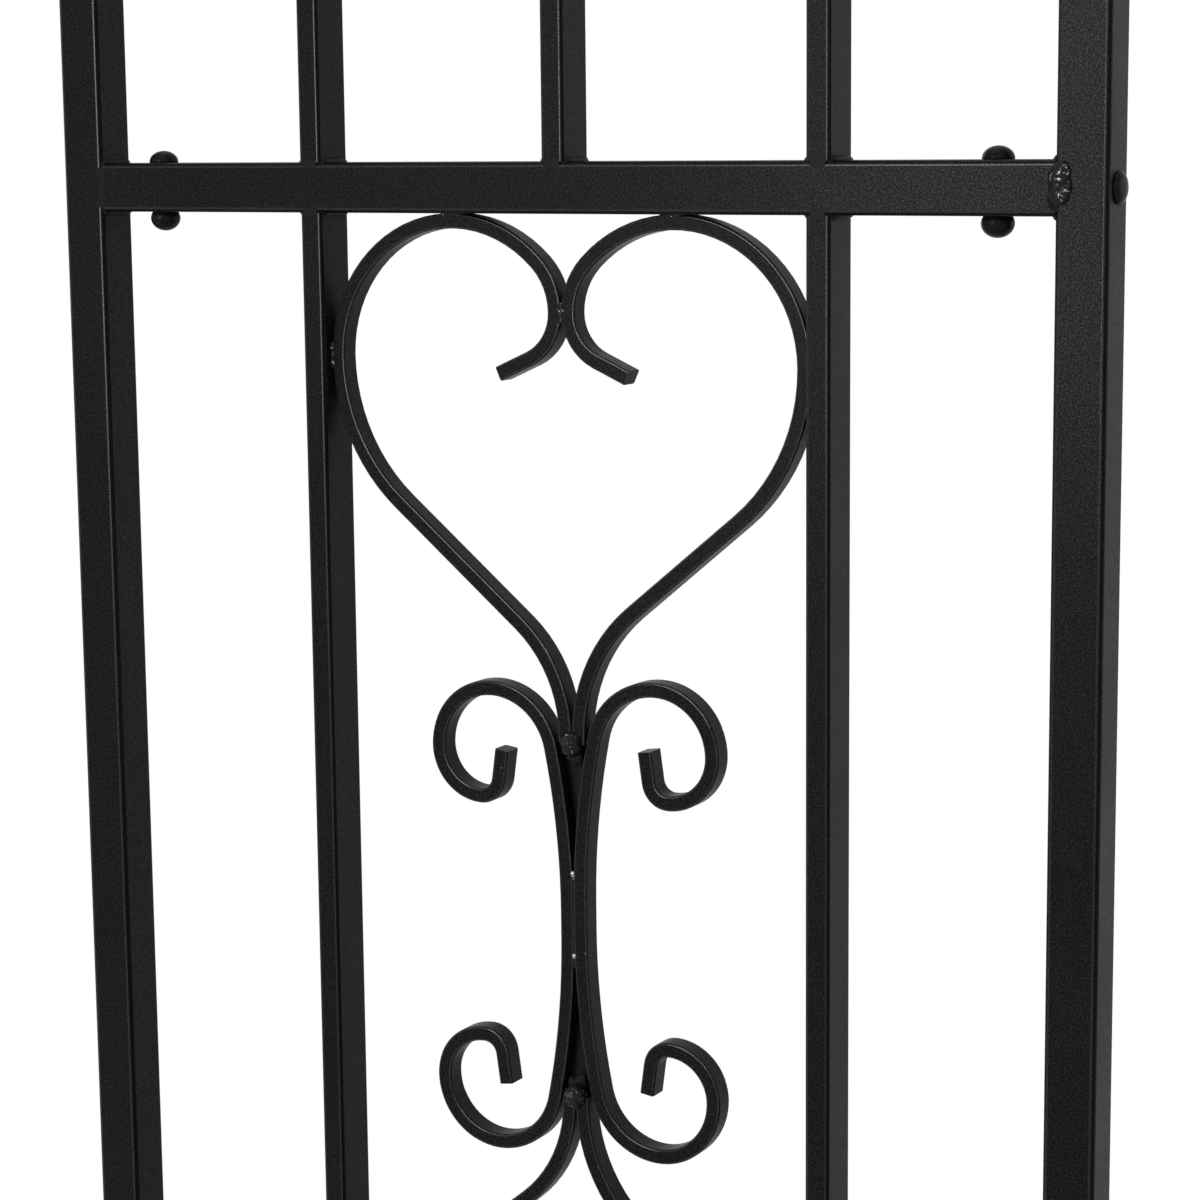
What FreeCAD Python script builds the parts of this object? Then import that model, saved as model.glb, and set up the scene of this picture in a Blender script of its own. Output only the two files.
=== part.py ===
"""Garden arch with a double gate, in welded square steel tube.

X runs across the passage, Y runs through it (the gate is at the front, -Y) and Z is up.
The origin is on the ground, midway between the four feet. All lengths are millimetres.
"""

import FreeCAD, Part
import Sketcher
import math
import os
from collections import namedtuple

from FreeCAD import Placement, Rotation, Vector

SIZES = {
    # the four posts and the tube that posts, rails, hoops and gate frames are made of
    "arch_width": 1200,
    "arch_depth": 460,
    "post_height": 1590,
    "tube": 20,
    "tube_wall": 1.5,
    "tube_corner": 2,
    # how much of its wall a tube's inner corner gives up against the outer one
    "corner_share": 0.8,
    # rails of the side panels: the eye rail's centre below the top of the posts, and the foot
    # rail's centre above the ground
    "eye_rail_drop": 140,
    "foot_rail_height": 110,
    # flat upright bars between the rails
    "bar_wide": 10,
    "bar_deep": 20,
    "bar_wall": 1.2,
    "bar_corner": 1.5,
    "bar_pitch": 111.9,
    "bar_shift": 6.5,
    # scrollwork of flat bar on edge, in a block between two rails
    "scroll_bar": 6,
    "scroll_deep": 9,
    "scroll_edge": 0.8,
    "scroll_height": 562,
    "heart_lobe": 54.4,
    "heart_flank": 76,
    "heart_slope": 39.6,
    "tail_bend": 20,
    "tail_turn": 66,
    "tail_length": 15,
    "curl_drop": 183.5,
    "throat_bend": 27.6,
    # the hearts' stems and the C-scrolls stand this much to the left of the hearts' middle, the
    # left C-scroll a little above the block's middle and the right one below it
    "stem_aside": 2.6,
    "curl_stagger": 2.5,
    "stem_length": 3.1,
    # the room between a stem and the C-scroll beside it, at the throats
    "stem_play": 0.9,
    "curl_outer": 25.1,
    "curl_inner": 19.5,
    "curl_end_bend": 8.4,
    "curl_end_turn": 82,
    "curl_end_length": 12.5,
    # hoops over the passage
    "hoop_stub": 50,
    "crown_stub": 40,
    "rungs_per_side": 3,
    "rung_wide": 20,
    "rung_thick": 10,
    "rung_seat": 0.1,
    "vine_bar": 10,
    "sleeve_gap": 0.2,
    "sleeve_length": 80,
    "sleeve_wall": 2,
    "sleeve_corner": 2,
    # screws and bolts of 6 mm thread with domed heads
    "bolt_radius": 3,
    "bolt_play": 0.2,
    "thread_play": 0.05,
    "dome_radius": 6,
    "dome_rise": 5,
    "screw_head_rise": 3,
    "nut_skirt": 3,
    "nut_thread": 5,
    "rail_bolt_inset": 25,
    "plug_length": 36,
    "post_bolt_length": 40,
    "sleeve_screw_length": 12,
    # foot plates
    "plate_wide": 50,
    "plate_long": 70,
    "plate_thick": 4,
    "anchor_radius": 4.5,
    "anchor_inset": 20,
    # gate leaves
    "leaf_gap": 8,
    "leaf_bottom": 50,
    "leaf_top": 990,
    "hinge_inset": 110,
    "hinge_offset": 8,
    "pin_radius": 4,
    "pin_play": 0.05,
    "eye_radius": 7,
    "eye_height": 30,
    "eye_lug": 24,
    "lug_thick": 4,
    "eye_seat": 0.3,
    "bracket_thick": 4,
    "bracket_reach": 16,
    "pin_stand": 4,
    "stop_reach": 18,
    "stop_hold": 14,
    "stop_thick": 3,
    "stop_tall": 30,
    "stop_gap": 0.3,
    # sliding latch
    "latch_radius": 4,
    "latch_play": 0.05,
    "latch_stand": 9,
    "latch_start": 8,
    "latch_length": 120,
    "latch_travel": 36,
    "ear_thick": 6,
    "plate_back": 3,
    "guide_start": 14,
    "guide_end": 88,
    "keeper_start": 10,
    "keeper_length": 18,
    "knob_radius": 3.5,
    "knob_ball": 6,
    "knob_reach": 18,
    "knob_margin": 6,
}

doc = FreeCAD.newDocument("GardenArch")
sheet = doc.addObject("Spreadsheet::Sheet", "Sizes")
for row, (name, value) in enumerate(SIZES.items(), start=1):
    sheet.set(f"A{row}", name)
    sheet.set(f"B{row}", str(value))
    sheet.setAlias(f"B{row}", name)
doc.recompute()


def size(name):
    """The value of one cell of the sheet."""
    return float(sheet.get(name))


def bind(thing, **cells):
    """Tie properties of an object to the sheet: each value is a formula with @name for a cell."""
    for prop, formula in cells.items():
        thing.setExpression(prop, formula.replace("@", "Sizes."))


def part_object(kind, name):
    """A new object of the document."""
    return doc.addObject(kind, name)


def origin_plane(body, role):
    """One of the three origin planes of a body."""
    return next(plane for plane in body.Origin.OriginFeatures if plane.Role == role)


# Rotations that point a piece's own length, its local Z, along an axis of the arch.
ALONG_Z = Rotation()
ALONG_Y = Rotation(Vector(1, 0, 0), -90)
ALONG_X = Rotation(Vector(0, 1, 0), 90)
CROSSWISE = Rotation(Vector(0, 0, 1), 90)
# Rotations that stand a drawing up: its first axis along Y or X, its second one up.
UPRIGHT_ALONG_Y = Rotation(Vector(1, 1, 1), 120)
UPRIGHT_ALONG_X = Rotation(Vector(1, 0, 0), 90)

nodes = []


def node(thing, label):
    """List an object as a piece of the arch."""
    thing.Label = label
    nodes.append(thing)
    return thing


def group(label, members):
    """Several like pieces that share one name."""
    bundle = part_object("Part::Compound", label)
    bundle.Links = members
    return node(bundle, label)


# Tubes: a rounded rectangle, hollow, padded along its own Z. A section is four formulas.

Section = namedtuple("Section", "wide deep wall corner")
TUBE = Section("@tube", "@tube", "@tube_wall", "@tube_corner")
BAR = Section("@bar_wide", "@bar_deep", "@bar_wall", "@bar_corner")
VINE_BAR = Section("@vine_bar", "@vine_bar", "@bar_wall", "@bar_corner")
RUNG = Section("@rung_wide", "@rung_thick", "@bar_wall", "@bar_corner")
TUBE_INSIDE = "@tube - 2 * @tube_wall - 2 * @sleeve_gap"
SLEEVE = Section(TUBE_INSIDE, TUBE_INSIDE, "@sleeve_wall", "@sleeve_corner")


def draw_rounded_rectangle(sketch, wide, deep, corner):
    """A centred rectangle with round corners, sized by three formulas of the sheet."""
    first = sketch.GeometryCount
    # a rough drawing, which the three formulas then bring to size
    half = size("tube") / 2
    flat = half - size("tube_corner")
    corners = [(-flat, -half), (flat, -half), (half, -flat), (half, flat)]
    corners += [(-x, -y) for x, y in corners]
    for (x0, y0), (x1, y1) in zip(corners[::2], corners[1::2]):
        sketch.addGeometry(Part.LineSegment(Vector(x0, y0, 0), Vector(x1, y1, 0)), False)
    centres = [(flat, -flat, 270), (flat, flat, 0), (-flat, flat, 90), (-flat, -flat, 180)]
    for x, y, start in centres:
        circle = Part.Circle(Vector(x, y, 0), Vector(0, 0, 1), half - flat)
        arc = Part.ArcOfCircle(circle, math.radians(start), math.radians(start + 90))
        sketch.addGeometry(arc, False)
    for index in range(4):
        line = first + index
        arc = first + 4 + index
        following = first + (index + 1) % 4
        sketch.addConstraint(Sketcher.Constraint("Tangent", line, 2, arc, 1))
        sketch.addConstraint(Sketcher.Constraint("Tangent", arc, 2, following, 1))
        side = "Horizontal" if index % 2 == 0 else "Vertical"
        sketch.addConstraint(Sketcher.Constraint(side, line))
        if index:
            sketch.addConstraint(Sketcher.Constraint("Equal", first + 4, arc))
    sketch.addConstraint(Sketcher.Constraint("Symmetric", first, 1, first + 2, 1, -1, 1))
    radius = sketch.addConstraint(Sketcher.Constraint("Radius", first + 4, half - flat))
    across = sketch.addConstraint(Sketcher.Constraint("DistanceX", first + 3, 1, first + 1, 1, 2 * half))
    along = sketch.addConstraint(Sketcher.Constraint("DistanceY", first, 1, first + 2, 1, 2 * half))
    for constraint, formula in ((radius, corner), (across, wide), (along, deep)):
        bind(sketch, **{f"Constraints[{constraint}]": formula})


def tube_section(body, name, section):
    """The hollow section of a tube, drawn across its own Z."""
    sketch = body.newObject("Sketcher::SketchObject", name)
    sketch.AttachmentSupport = [(origin_plane(body, "XY_Plane"), "")]
    sketch.MapMode = "FlatFace"
    wide, deep, wall, corner = section
    draw_rounded_rectangle(sketch, wide, deep, corner)
    inner_wide, inner_deep = (f"{across} - 2 * {wall}" for across in (wide, deep))
    draw_rounded_rectangle(sketch, inner_wide, inner_deep, f"{corner} - @corner_share * {wall}")
    return sketch


def tube_piece(label, length, place, turn, section=TUBE):
    """A straight tube from place along its own Z."""
    body = part_object("PartDesign::Body", label)
    drawing = tube_section(body, label + "_section", section)
    pad = body.newObject("PartDesign::Pad", label + "_pad")
    pad.Profile = drawing
    bind(pad, Length=length)
    body.Placement = Placement(place, turn)
    return body


def bar_piece(label, length, place, turn=CROSSWISE):
    """A flat upright bar, its narrow side towards the panel's plane."""
    return tube_piece(label, length, place, turn, BAR)


def drill(body, place, turn, radius, depth):
    """A round hole in a body, from place in the body's own frame along the turned Z."""
    hole = body.newObject("PartDesign::SubtractiveCylinder", body.Name + "_hole")
    hole.Placement = Placement(place, turn)
    bind(hole, Radius=radius, Height=depth)
    return hole


# Places that many pieces share.

half_width = size("arch_width") / 2
half_depth = size("arch_depth") / 2
half_tube = size("tube") / 2
post_x = half_width - half_tube
post_y = half_depth - half_tube
inner_y = half_depth - size("tube")
inner_x = half_width - size("tube")
post_top = size("post_height")
eye_z = size("post_height") - size("eye_rail_drop")
waist_z = eye_z - size("tube") - size("scroll_height")
foot_z = size("foot_rail_height")
top_z = post_top - half_tube
bend_z = post_top + size("hoop_stub")
crown_z = bend_z + post_x - size("crown_stub")
screw_step = size("sleeve_length") / 4
SIDES = {"left": -1, "right": 1}
ENDS = {"front": -1, "rear": 1}
BENT_INWARD = {"right": Rotation(), "left": Rotation(Vector(0, 0, 1), 180)}
HOLE = "@bolt_radius + @bolt_play"
TAPPED = "@bolt_radius + @thread_play"


# Posts.


def make_post(side, end):
    """One upright, with its holes for the post bolt and the sleeve screw."""
    base = size("plate_thick")
    place = Vector(SIDES[side] * post_x, ENDS[end] * post_y, base)
    body = tube_piece(f"{side}_{end}_post", "@post_height - @plate_thick", place, ALONG_Z)
    drill(body, Vector(0, -half_tube, eye_z - base), ALONG_Y, HOLE, "@tube")
    start = Vector(0, 0 if end == "rear" else -half_tube, post_top - screw_step - base)
    drill(body, start, ALONG_Y, HOLE, "@tube / 2")
    return node(body, f"{side}_{end}_post")


# Side panels.


def make_side_rail(side, name, height):
    """A rail from post to post."""
    place = Vector(SIDES[side] * post_x, -inner_y, height)
    return tube_piece(f"{side}_{name}_rail", "@arch_depth - 2 * @tube", place, ALONG_Y)


def make_eye_rail(side):
    """The rail at eye height, drilled for the bolt through each end."""
    rail = make_side_rail(side, "eye", eye_z)
    span = size("arch_depth") - 2 * size("tube")
    for along in (size("rail_bolt_inset"), span - size("rail_bolt_inset")):
        drill(rail, Vector(0, half_tube, along), Rotation(Vector(1, 0, 0), 90), HOLE, "@tube")
    return node(rail, f"{side}_eye_rail")


def side_bars(side, name, low, high, places):
    """Upright bars between two heights, at the given distances from the panel's scroll axis."""
    members = []
    for index, place in enumerate(places):
        spot = Vector(SIDES[side] * post_x, place - size("bar_shift"), low + half_tube)
        bar = bar_piece(f"{side}_{name}_bar_{index}", f"{high - low} - @tube", spot)
        members.append(bar)
    return group(f"{side}_{name}_bars", members)


# Scrollwork: each bar is a chain of straight runs and bends, drawn in its own plane
# with the first axis across the panel and the second one up.

Step = namedtuple("Step", "start middle end entering leaving")
NEAR = 0.001


def onward(point, angle, length):
    """The point at a length from another one, in the direction of an angle."""
    return (point[0] + length * math.cos(angle), point[1] + length * math.sin(angle))


def walk(start, heading, moves):
    """Follow a chain of moves, ("run", length) or ("bend", radius, turn to the left)."""
    steps = []
    here = start
    angle = math.radians(heading)
    for move in moves:
        if move[0] == "run":
            steps.append(Step(here, None, onward(here, angle, move[1]), angle, angle))
        else:
            turn = math.radians(move[2])
            lean = math.copysign(math.pi / 2, turn)
            centre = onward(here, angle + lean, move[1])
            halfway = onward(centre, angle + turn / 2 - lean, move[1])
            end = onward(centre, angle + turn - lean, move[1])
            steps.append(Step(here, halfway, end, angle, angle + turn))
        here = steps[-1].end
        angle = steps[-1].leaving
    return steps


def beside(point, angle, offset):
    """A point to the left of a place on the chain, on the bar's back face."""
    back = -size("scroll_deep") / 2
    return Vector(point[0] - offset * math.sin(angle), point[1] + offset * math.cos(angle), back)


def bar_side(steps, offset):
    """One edge of the bar's outline, at a distance to the left of the chain."""
    edges = []
    for step in steps:
        first = beside(step.start, step.entering, offset)
        last = beside(step.end, step.leaving, offset)
        if step.middle is None:
            edges.append(Part.LineSegment(first, last).toShape())
        else:
            halfway = beside(step.middle, (step.entering + step.leaving) / 2, offset)
            edges.append(Part.Arc(first, halfway, last).toShape())
    return edges


def bar_along(steps):
    """A bar with eased edges whose centre line is the chain."""
    half = size("scroll_bar") / 2
    ends = [(steps[0].start, steps[0].entering), (steps[-1].end, steps[-1].leaving)]
    caps = [Part.LineSegment(beside(*end, half), beside(*end, -half)).toShape() for end in ends]
    outline = Part.Wire(Part.__sortEdges__(bar_side(steps, half) + bar_side(steps, -half) + caps))
    bar = Part.Face(outline).extrude(Vector(0, 0, size("scroll_deep")))
    cap_middles = [beside(*end, 0) for end in ends]

    def runs_along(edge):
        middle = edge.valueAt((edge.FirstParameter + edge.LastParameter) / 2)
        crosses = any(math.hypot(middle.x - cap.x, middle.y - cap.y) < NEAR for cap in cap_middles)
        return edge.BoundBox.ZLength < NEAR and not crosses

    return bar.makeFillet(size("scroll_edge"), [edge for edge in bar.Edges if runs_along(edge)])


def back_step():
    """How far the C-scrolls' backs step aside before their throats, to leave room for a stem."""
    return size("scroll_bar") + size("stem_play")


def back_swing():
    """How far each half of a C-scroll's back turns to step aside."""
    room = (size("scroll_height") - size("scroll_bar")) / 2 - size("curl_drop") - size("throat_bend")
    return 2 * math.atan(back_step() / room)


def throat_height():
    """Where the throats start, above the middle of the block: the hearts' stems end there."""
    upper_half = (size("scroll_height") - size("scroll_bar")) / 2
    return upper_half - size("curl_drop") - size("throat_bend") * (1 - math.sin(back_swing()))


def half_heart(aside):
    """The left half of a heart, its stem set aside from the heart's middle towards the right."""
    half_bar = size("scroll_bar") / 2
    lobe = size("heart_lobe")
    reach = size("bar_pitch") - size("bar_wide") / 2 - half_bar
    lean = math.radians(90 - size("heart_slope"))
    eighth = math.radians(45)
    shoulder = (reach - lobe - half_bar - lobe * math.sin(eighth)) / (1 - math.sin(eighth))
    stem_start = throat_height()
    # the slant and the bend at its foot are as large as fits between the stem and the lobe
    across = reach + aside - half_bar
    rise = size("scroll_height") / 2 - stem_start - size("stem_length") - lobe - half_bar
    bends = (rise * math.sin(lean) - across * math.cos(lean)) / (1 - math.cos(lean))
    slant = (across - bends * (1 - math.cos(lean))) / math.sin(lean)
    moves = [
        ("run", size("stem_length")),
        ("bend", bends - size("heart_flank"), 90 - size("heart_slope")),
        ("run", slant),
        ("bend", size("heart_flank"), size("heart_slope") - 90),
        ("bend", lobe, -135),
        ("bend", shoulder, -45),
        ("bend", size("tail_bend"), -size("tail_turn")),
        ("run", size("tail_length")),
    ]
    return bar_along(walk((aside - half_bar, stem_start), 90, moves))


def curl_moves():
    """Half of a C-scroll, from the middle of its back to the end of its upper curl."""
    swing = back_swing()
    return [
        ("run", size("throat_bend") * math.sin(swing)),
        ("bend", back_step() / (1 - math.cos(swing)), math.degrees(swing)),
        ("bend", size("throat_bend"), 90 - math.degrees(swing)),
        ("bend", size("curl_outer"), 90),
        ("bend", size("curl_inner"), 90),
        ("bend", size("curl_end_bend"), size("curl_end_turn")),
        ("run", size("curl_end_length")),
    ]


def heart_shapes():
    """Four half hearts about the middle of a block: one heart upright, one upside down."""
    aside = size("stem_aside")
    upright = [half_heart(-aside), half_heart(aside).mirror(Vector(), Vector(1, 0, 0))]
    return upright + [half.mirror(Vector(), Vector(0, 1, 0)) for half in upright]


def curl_shapes():
    """Two C-scrolls back to back, near the middle of a block."""
    upper = curl_moves()
    tip = walk((-size("scroll_bar") / 2, 0), 90, upper)[-1]
    back = ("run", 2 * upper[0][1])
    moves = upper[:0:-1] + [back] + upper[1:]
    start = (tip.end[0], -tip.end[1])
    curl = bar_along(walk(start, 180 - math.degrees(tip.leaving), moves))
    pair = [curl, curl.mirror(Vector(), Vector(1, 0, 0))]
    for scroll, sign in zip(pair, (1, -1)):
        scroll.translate(Vector(-size("stem_aside"), sign * size("curl_stagger"), 0))
    return pair


HEARTS = heart_shapes()
CURLS = curl_shapes()


def scroll_block(label, place, turn):
    """The hearts and the C-scrolls of one panel, each a node of loose bars."""
    for name, shapes in (("hearts", HEARTS), ("curls", CURLS)):
        piece = part_object("Part::Feature", f"{label}_{name}")
        piece.Shape = Part.Compound(shapes)
        piece.Placement = Placement(place, turn)
        node(piece, f"{label}_{name}")


# Side panels: four rails, upright bars and the scroll block between the eye and waist rails.


def make_side(side):
    """One side of the arch between its two posts."""
    for name, height in (("top", top_z), ("waist", waist_z), ("foot", foot_z)):
        node(make_side_rail(side, name, height), f"{side}_{name}_rail")
    make_eye_rail(side)
    pitch = size("bar_pitch")
    side_bars(side, "upper", eye_z, top_z, (-pitch, 0, pitch))
    side_bars(side, "middle", waist_z, eye_z, (-pitch, pitch))
    side_bars(side, "lower", foot_z, waist_z, (-pitch, 0, pitch))
    middle = Vector(SIDES[side] * post_x, -size("bar_shift"), (waist_z + eye_z) / 2)
    scroll_block(f"{side}_side", middle, UPRIGHT_ALONG_Y)


# Hoops over the passage: a stub up from the post, a quarter bend and a stub to the crown.


def hoop_piece(label, side, place, section):
    """Half a hoop of square tube, bent towards the middle of the passage."""
    body = part_object("PartDesign::Body", label)
    drawing = tube_section(body, label + "_section", section)
    path = body.newObject("Sketcher::SketchObject", label + "_path")
    path.AttachmentSupport = [(origin_plane(body, "XZ_Plane"), "")]
    path.MapMode = "FlatFace"
    low, bend = size("hoop_stub"), half_width - size("crown_stub")
    path.addGeometry(Part.LineSegment(Vector(0, 0, 0), Vector(0, low, 0)), False)
    circle = Part.Circle(Vector(-bend, low, 0), Vector(0, 0, 1), bend)
    path.addGeometry(Part.ArcOfCircle(circle, 0, math.pi / 2), False)
    high = low + bend
    path.addGeometry(Part.LineSegment(Vector(-bend, high, 0), Vector(-half_width, high, 0)), False)
    path.addConstraint(Sketcher.Constraint("Coincident", 0, 1, -1, 1))
    path.addConstraint(Sketcher.Constraint("Tangent", 0, 2, 1, 1))
    path.addConstraint(Sketcher.Constraint("Tangent", 1, 2, 2, 1))
    path.addConstraint(Sketcher.Constraint("Vertical", 0))
    path.addConstraint(Sketcher.Constraint("Horizontal", 2))
    radius = f"@arch_width / 2 - {section.wide} / 2 - @crown_stub"
    lengths = [("Distance", 0, low, "@hoop_stub"), ("Distance", 2, size("crown_stub"), "@crown_stub"),
               ("Radius", 1, bend, radius)]
    for kind, line, rough, formula in lengths:
        index = path.addConstraint(Sketcher.Constraint(kind, line, rough))
        bind(path, **{f"Constraints[{index}]": formula})
    pipe = body.newObject("PartDesign::AdditivePipe", label + "_pipe")
    pipe.Profile = drawing
    pipe.Spine = path
    body.Placement = Placement(place, BENT_INWARD[side])
    return body


def make_hoops():
    """The four half hoops, with their screw holes."""
    crown = Vector(screw_step - post_x, 0, crown_z - post_top)
    for side, sign in SIDES.items():
        for end, front in ENDS.items():
            place = Vector(sign * post_x, front * post_y, post_top)
            body = hoop_piece(f"{side}_{end}_hoop", side, place, TUBE)
            outward = 0 if front * sign > 0 else -half_tube
            for spot in (Vector(0, 0, screw_step), crown):
                drill(body, spot + Vector(0, outward, 0), ALONG_Y, HOLE, "@tube / 2")
            node(body, f"{side}_{end}_hoop")


def make_vine_bars():
    """Curved bars that lie over the rungs, above the side panels' upright bars."""
    members = []
    across = half_width - size("vine_bar") / 2
    for side, sign in SIDES.items():
        for index in (-1, 0, 1):
            place = Vector(sign * across, index * size("bar_pitch") - size("bar_shift"), post_top)
            members.append(hoop_piece(f"{side}_vine_bar_{index + 1}", side, place, VINE_BAR))
    group("vine_bars", members)


def make_rungs():
    """Flat rungs between the front and rear hoops, under the curved bars."""
    members = []
    count = int(size("rungs_per_side"))
    vine_bar_inside = half_width - size("crown_stub") - size("vine_bar")
    radius = vine_bar_inside - size("rung_seat") - size("rung_thick") / 2
    for side, sign in SIDES.items():
        for index in range(count):
            angle = 90 * (index + 0.5) / count
            across, rise = onward((size("crown_stub"), bend_z), math.radians(angle), radius)
            place = Vector(sign * across, -inner_y, rise)
            tilt = Rotation(Vector(0, 1, 0), sign * (90 - angle)) * ALONG_Y
            members.append(tube_piece(f"{side}_rung_{index}", "@arch_depth - 2 * @tube", place, tilt, RUNG))
    group("rungs", members)


# Sleeves inside the joints between posts and hoops, and between the half hoops.


def sleeve_piece(label, front, place, turn):
    """A short tube that fits inside two butted tubes, tapped on the side its screws enter."""
    body = tube_piece(label, "@sleeve_length", place, turn, SLEEVE)
    outward = 0 if front > 0 else -half_tube
    for level in (screw_step, 3 * screw_step):
        drill(body, Vector(0, outward, level), ALONG_Y, TAPPED, "@tube / 2")
    return body


def make_sleeves():
    """Four post sleeves and two crown sleeves."""
    half = size("sleeve_length") / 2
    posts, crowns = [], []
    for end, front in ENDS.items():
        for side, sign in SIDES.items():
            place = Vector(sign * post_x, front * post_y, post_top - half)
            posts.append(sleeve_piece(f"{side}_{end}_sleeve", front, place, ALONG_Z))
        place = Vector(-half, front * post_y, crown_z)
        crowns.append(sleeve_piece(f"{end}_crown_sleeve", front, place, ALONG_X))
    group("post_sleeves", posts)
    group("crown_sleeves", crowns)


# Fasteners with domed heads, which face up, down or out of the front or the rear.

UP = Rotation()
DOWN = Rotation(Vector(1, 0, 0), 180)
FACING = {"front": Rotation(Vector(1, 0, 0), 90), "rear": Rotation(Vector(1, 0, 0), -90)}


def dome(label, rise, seat="0"):
    """A spherical cap whose flat side is at a height on its own Z."""
    cap = part_object("Part::Sphere", label)
    radius = f"(@dome_radius ^ 2 + {rise} ^ 2) / (2 * {rise})"
    bind(cap, Radius=radius, Angle1=f"asin(1 - {rise} / ({radius}))")
    bind(cap, **{"Placement.Base.z": f"{seat} + {rise} - {radius}"})
    cap.Angle2 = 90
    return cap


def dome_bolt(label, length, rise, place, turn):
    """A bolt whose domed head stands on its own z = 0 and whose shank points down."""
    shank = part_object("Part::Cylinder", label + "_shank")
    bind(shank, Radius="@bolt_radius", Height=length, **{"Placement.Base.z": f"-({length})"})
    bolt = part_object("Part::MultiFuse", label)
    bolt.Shapes = [shank, dome(label + "_head", rise)]
    bolt.Placement = Placement(place, turn)
    return bolt


def head_bolt(label, length, place, end):
    """A bolt with a low head on a front or rear face."""
    return dome_bolt(label, length, "@screw_head_rise", place, FACING[end])


def cap_nut(label, place, turn):
    """A domed nut with a blind threaded hole in its flat face, at its own z = 0."""
    skirt = part_object("Part::Cylinder", label + "_skirt")
    bind(skirt, Radius="@dome_radius", Height="@nut_skirt")
    cap = dome(label + "_cap", "@dome_rise", "@nut_skirt")
    thread = part_object("Part::Cylinder", label + "_thread")
    bind(thread, Radius=TAPPED, Height="@nut_thread + @thread_play")
    blank = part_object("Part::MultiFuse", label + "_blank")
    blank.Shapes = [skirt, cap]
    nut = part_object("Part::Cut", label)
    nut.Base = blank
    nut.Tool = thread
    nut.Placement = Placement(place, turn)
    return nut


def make_rail_fittings():
    """Bolt, nut and inner plug at each end of the eye rails, and the bolt through the post."""
    bolts, nuts, plugs, post_bolts = [], [], [], []
    half_span = inner_y - size("rail_bolt_inset")
    for side, sign in SIDES.items():
        for end, front in ENDS.items():
            name = f"{side}_{end}"
            above = Vector(sign * post_x, front * half_span, eye_z + half_tube)
            below = Vector(sign * post_x, front * half_span, eye_z - half_tube)
            rail_end = Vector(sign * post_x, front * inner_y, eye_z)
            outside = Vector(sign * post_x, front * half_depth, eye_z)
            bolts.append(dome_bolt(name + "_rail_bolt", "@tube + @nut_thread", "@dome_rise", above, UP))
            nuts.append(cap_nut(name + "_cap_nut", below, DOWN))
            plugs.append(rail_plug(name + "_plug", rail_end, FACING[end]))
            post_bolts.append(head_bolt(name + "_post_bolt", "@post_bolt_length", outside, end))
    group("rail_bolts", bolts)
    group("cap_nuts", nuts)
    group("rail_plugs", plugs)
    group("post_bolts", post_bolts)


def rail_plug(label, place, turn):
    """A block inside the rail's end, its outer face at its own z = 0, threaded for the post bolt."""
    block = part_object("Part::Box", label + "_block")
    bind(block, Length=TUBE_INSIDE, Width=TUBE_INSIDE, Height="@plug_length",
         **{"Placement.Base.x": f"-({TUBE_INSIDE}) / 2", "Placement.Base.y": f"-({TUBE_INSIDE}) / 2",
            "Placement.Base.z": "-@plug_length"})
    thread = part_object("Part::Cylinder", label + "_thread")
    bind(thread, Radius=TAPPED, Height="@post_bolt_length - @tube + @thread_play",
         **{"Placement.Base.z": "@tube - @post_bolt_length - @thread_play"})
    cross = part_object("Part::Cylinder", label + "_cross_hole")
    cross.Placement.Rotation = Rotation(Vector(1, 0, 0), 90)
    bind(cross, Radius=HOLE, Height="@tube",
         **{"Placement.Base.y": "@tube / 2", "Placement.Base.z": "-@rail_bolt_inset"})
    holes = part_object("Part::MultiFuse", label + "_holes")
    holes.Shapes = [thread, cross]
    plug = part_object("Part::Cut", label)
    plug.Base = block
    plug.Tool = holes
    plug.Placement = Placement(place, turn)
    return plug


def make_sleeve_screws():
    """Screws through posts and hoops into the sleeves."""
    screws = []
    for end, front in ENDS.items():
        outside = front * half_depth
        spots = [Vector(sign * post_x, outside, post_top + step)
                 for sign in SIDES.values() for step in (-screw_step, screw_step)]
        spots += [Vector(sign * screw_step, outside, crown_z) for sign in SIDES.values()]
        for index, spot in enumerate(spots):
            screws.append(head_bolt(f"{end}_sleeve_screw_{index}", "@sleeve_screw_length", spot, end))
    group("sleeve_screws", screws)


# Foot plates.


def make_foot_plates():
    """A flat plate under each post, reaching outwards to its anchor hole."""
    plates = []
    for side, sign in SIDES.items():
        for end, front in ENDS.items():
            name = f"{side}_{end}_plate"
            slab = part_object("Part::Box", name + "_slab")
            bind(slab, Length="@plate_wide", Width="@plate_long", Height="@plate_thick",
                 **{"Placement.Base.x": "-@plate_wide / 2"})
            hole = part_object("Part::Cylinder", name + "_hole")
            bind(hole, Radius="@anchor_radius", Height="@plate_thick",
                 **{"Placement.Base.y": "@plate_long - @anchor_inset"})
            plate = part_object("Part::Cut", name)
            plate.Base = slab
            plate.Tool = hole
            turn = Rotation() if front > 0 else Rotation(Vector(0, 0, 1), 180)
            plate.Placement = Placement(Vector(sign * post_x, front * inner_y, 0), turn)
            plates.append(plate)
    group("foot_plates", plates)


# Gate leaves.

leaf_y = -post_y
hinge_stile_x = inner_x - size("leaf_gap") - half_tube
meeting_stile_x = size("leaf_gap") / 2 + half_tube
leaf_middle_x = (hinge_stile_x + meeting_stile_x) / 2
leaf_inside = hinge_stile_x - meeting_stile_x - size("tube")
leaf_top_z = size("leaf_top") - half_tube
leaf_middle_z = leaf_top_z - size("tube") - size("scroll_height")
leaf_bottom_z = size("leaf_bottom") + half_tube


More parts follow.
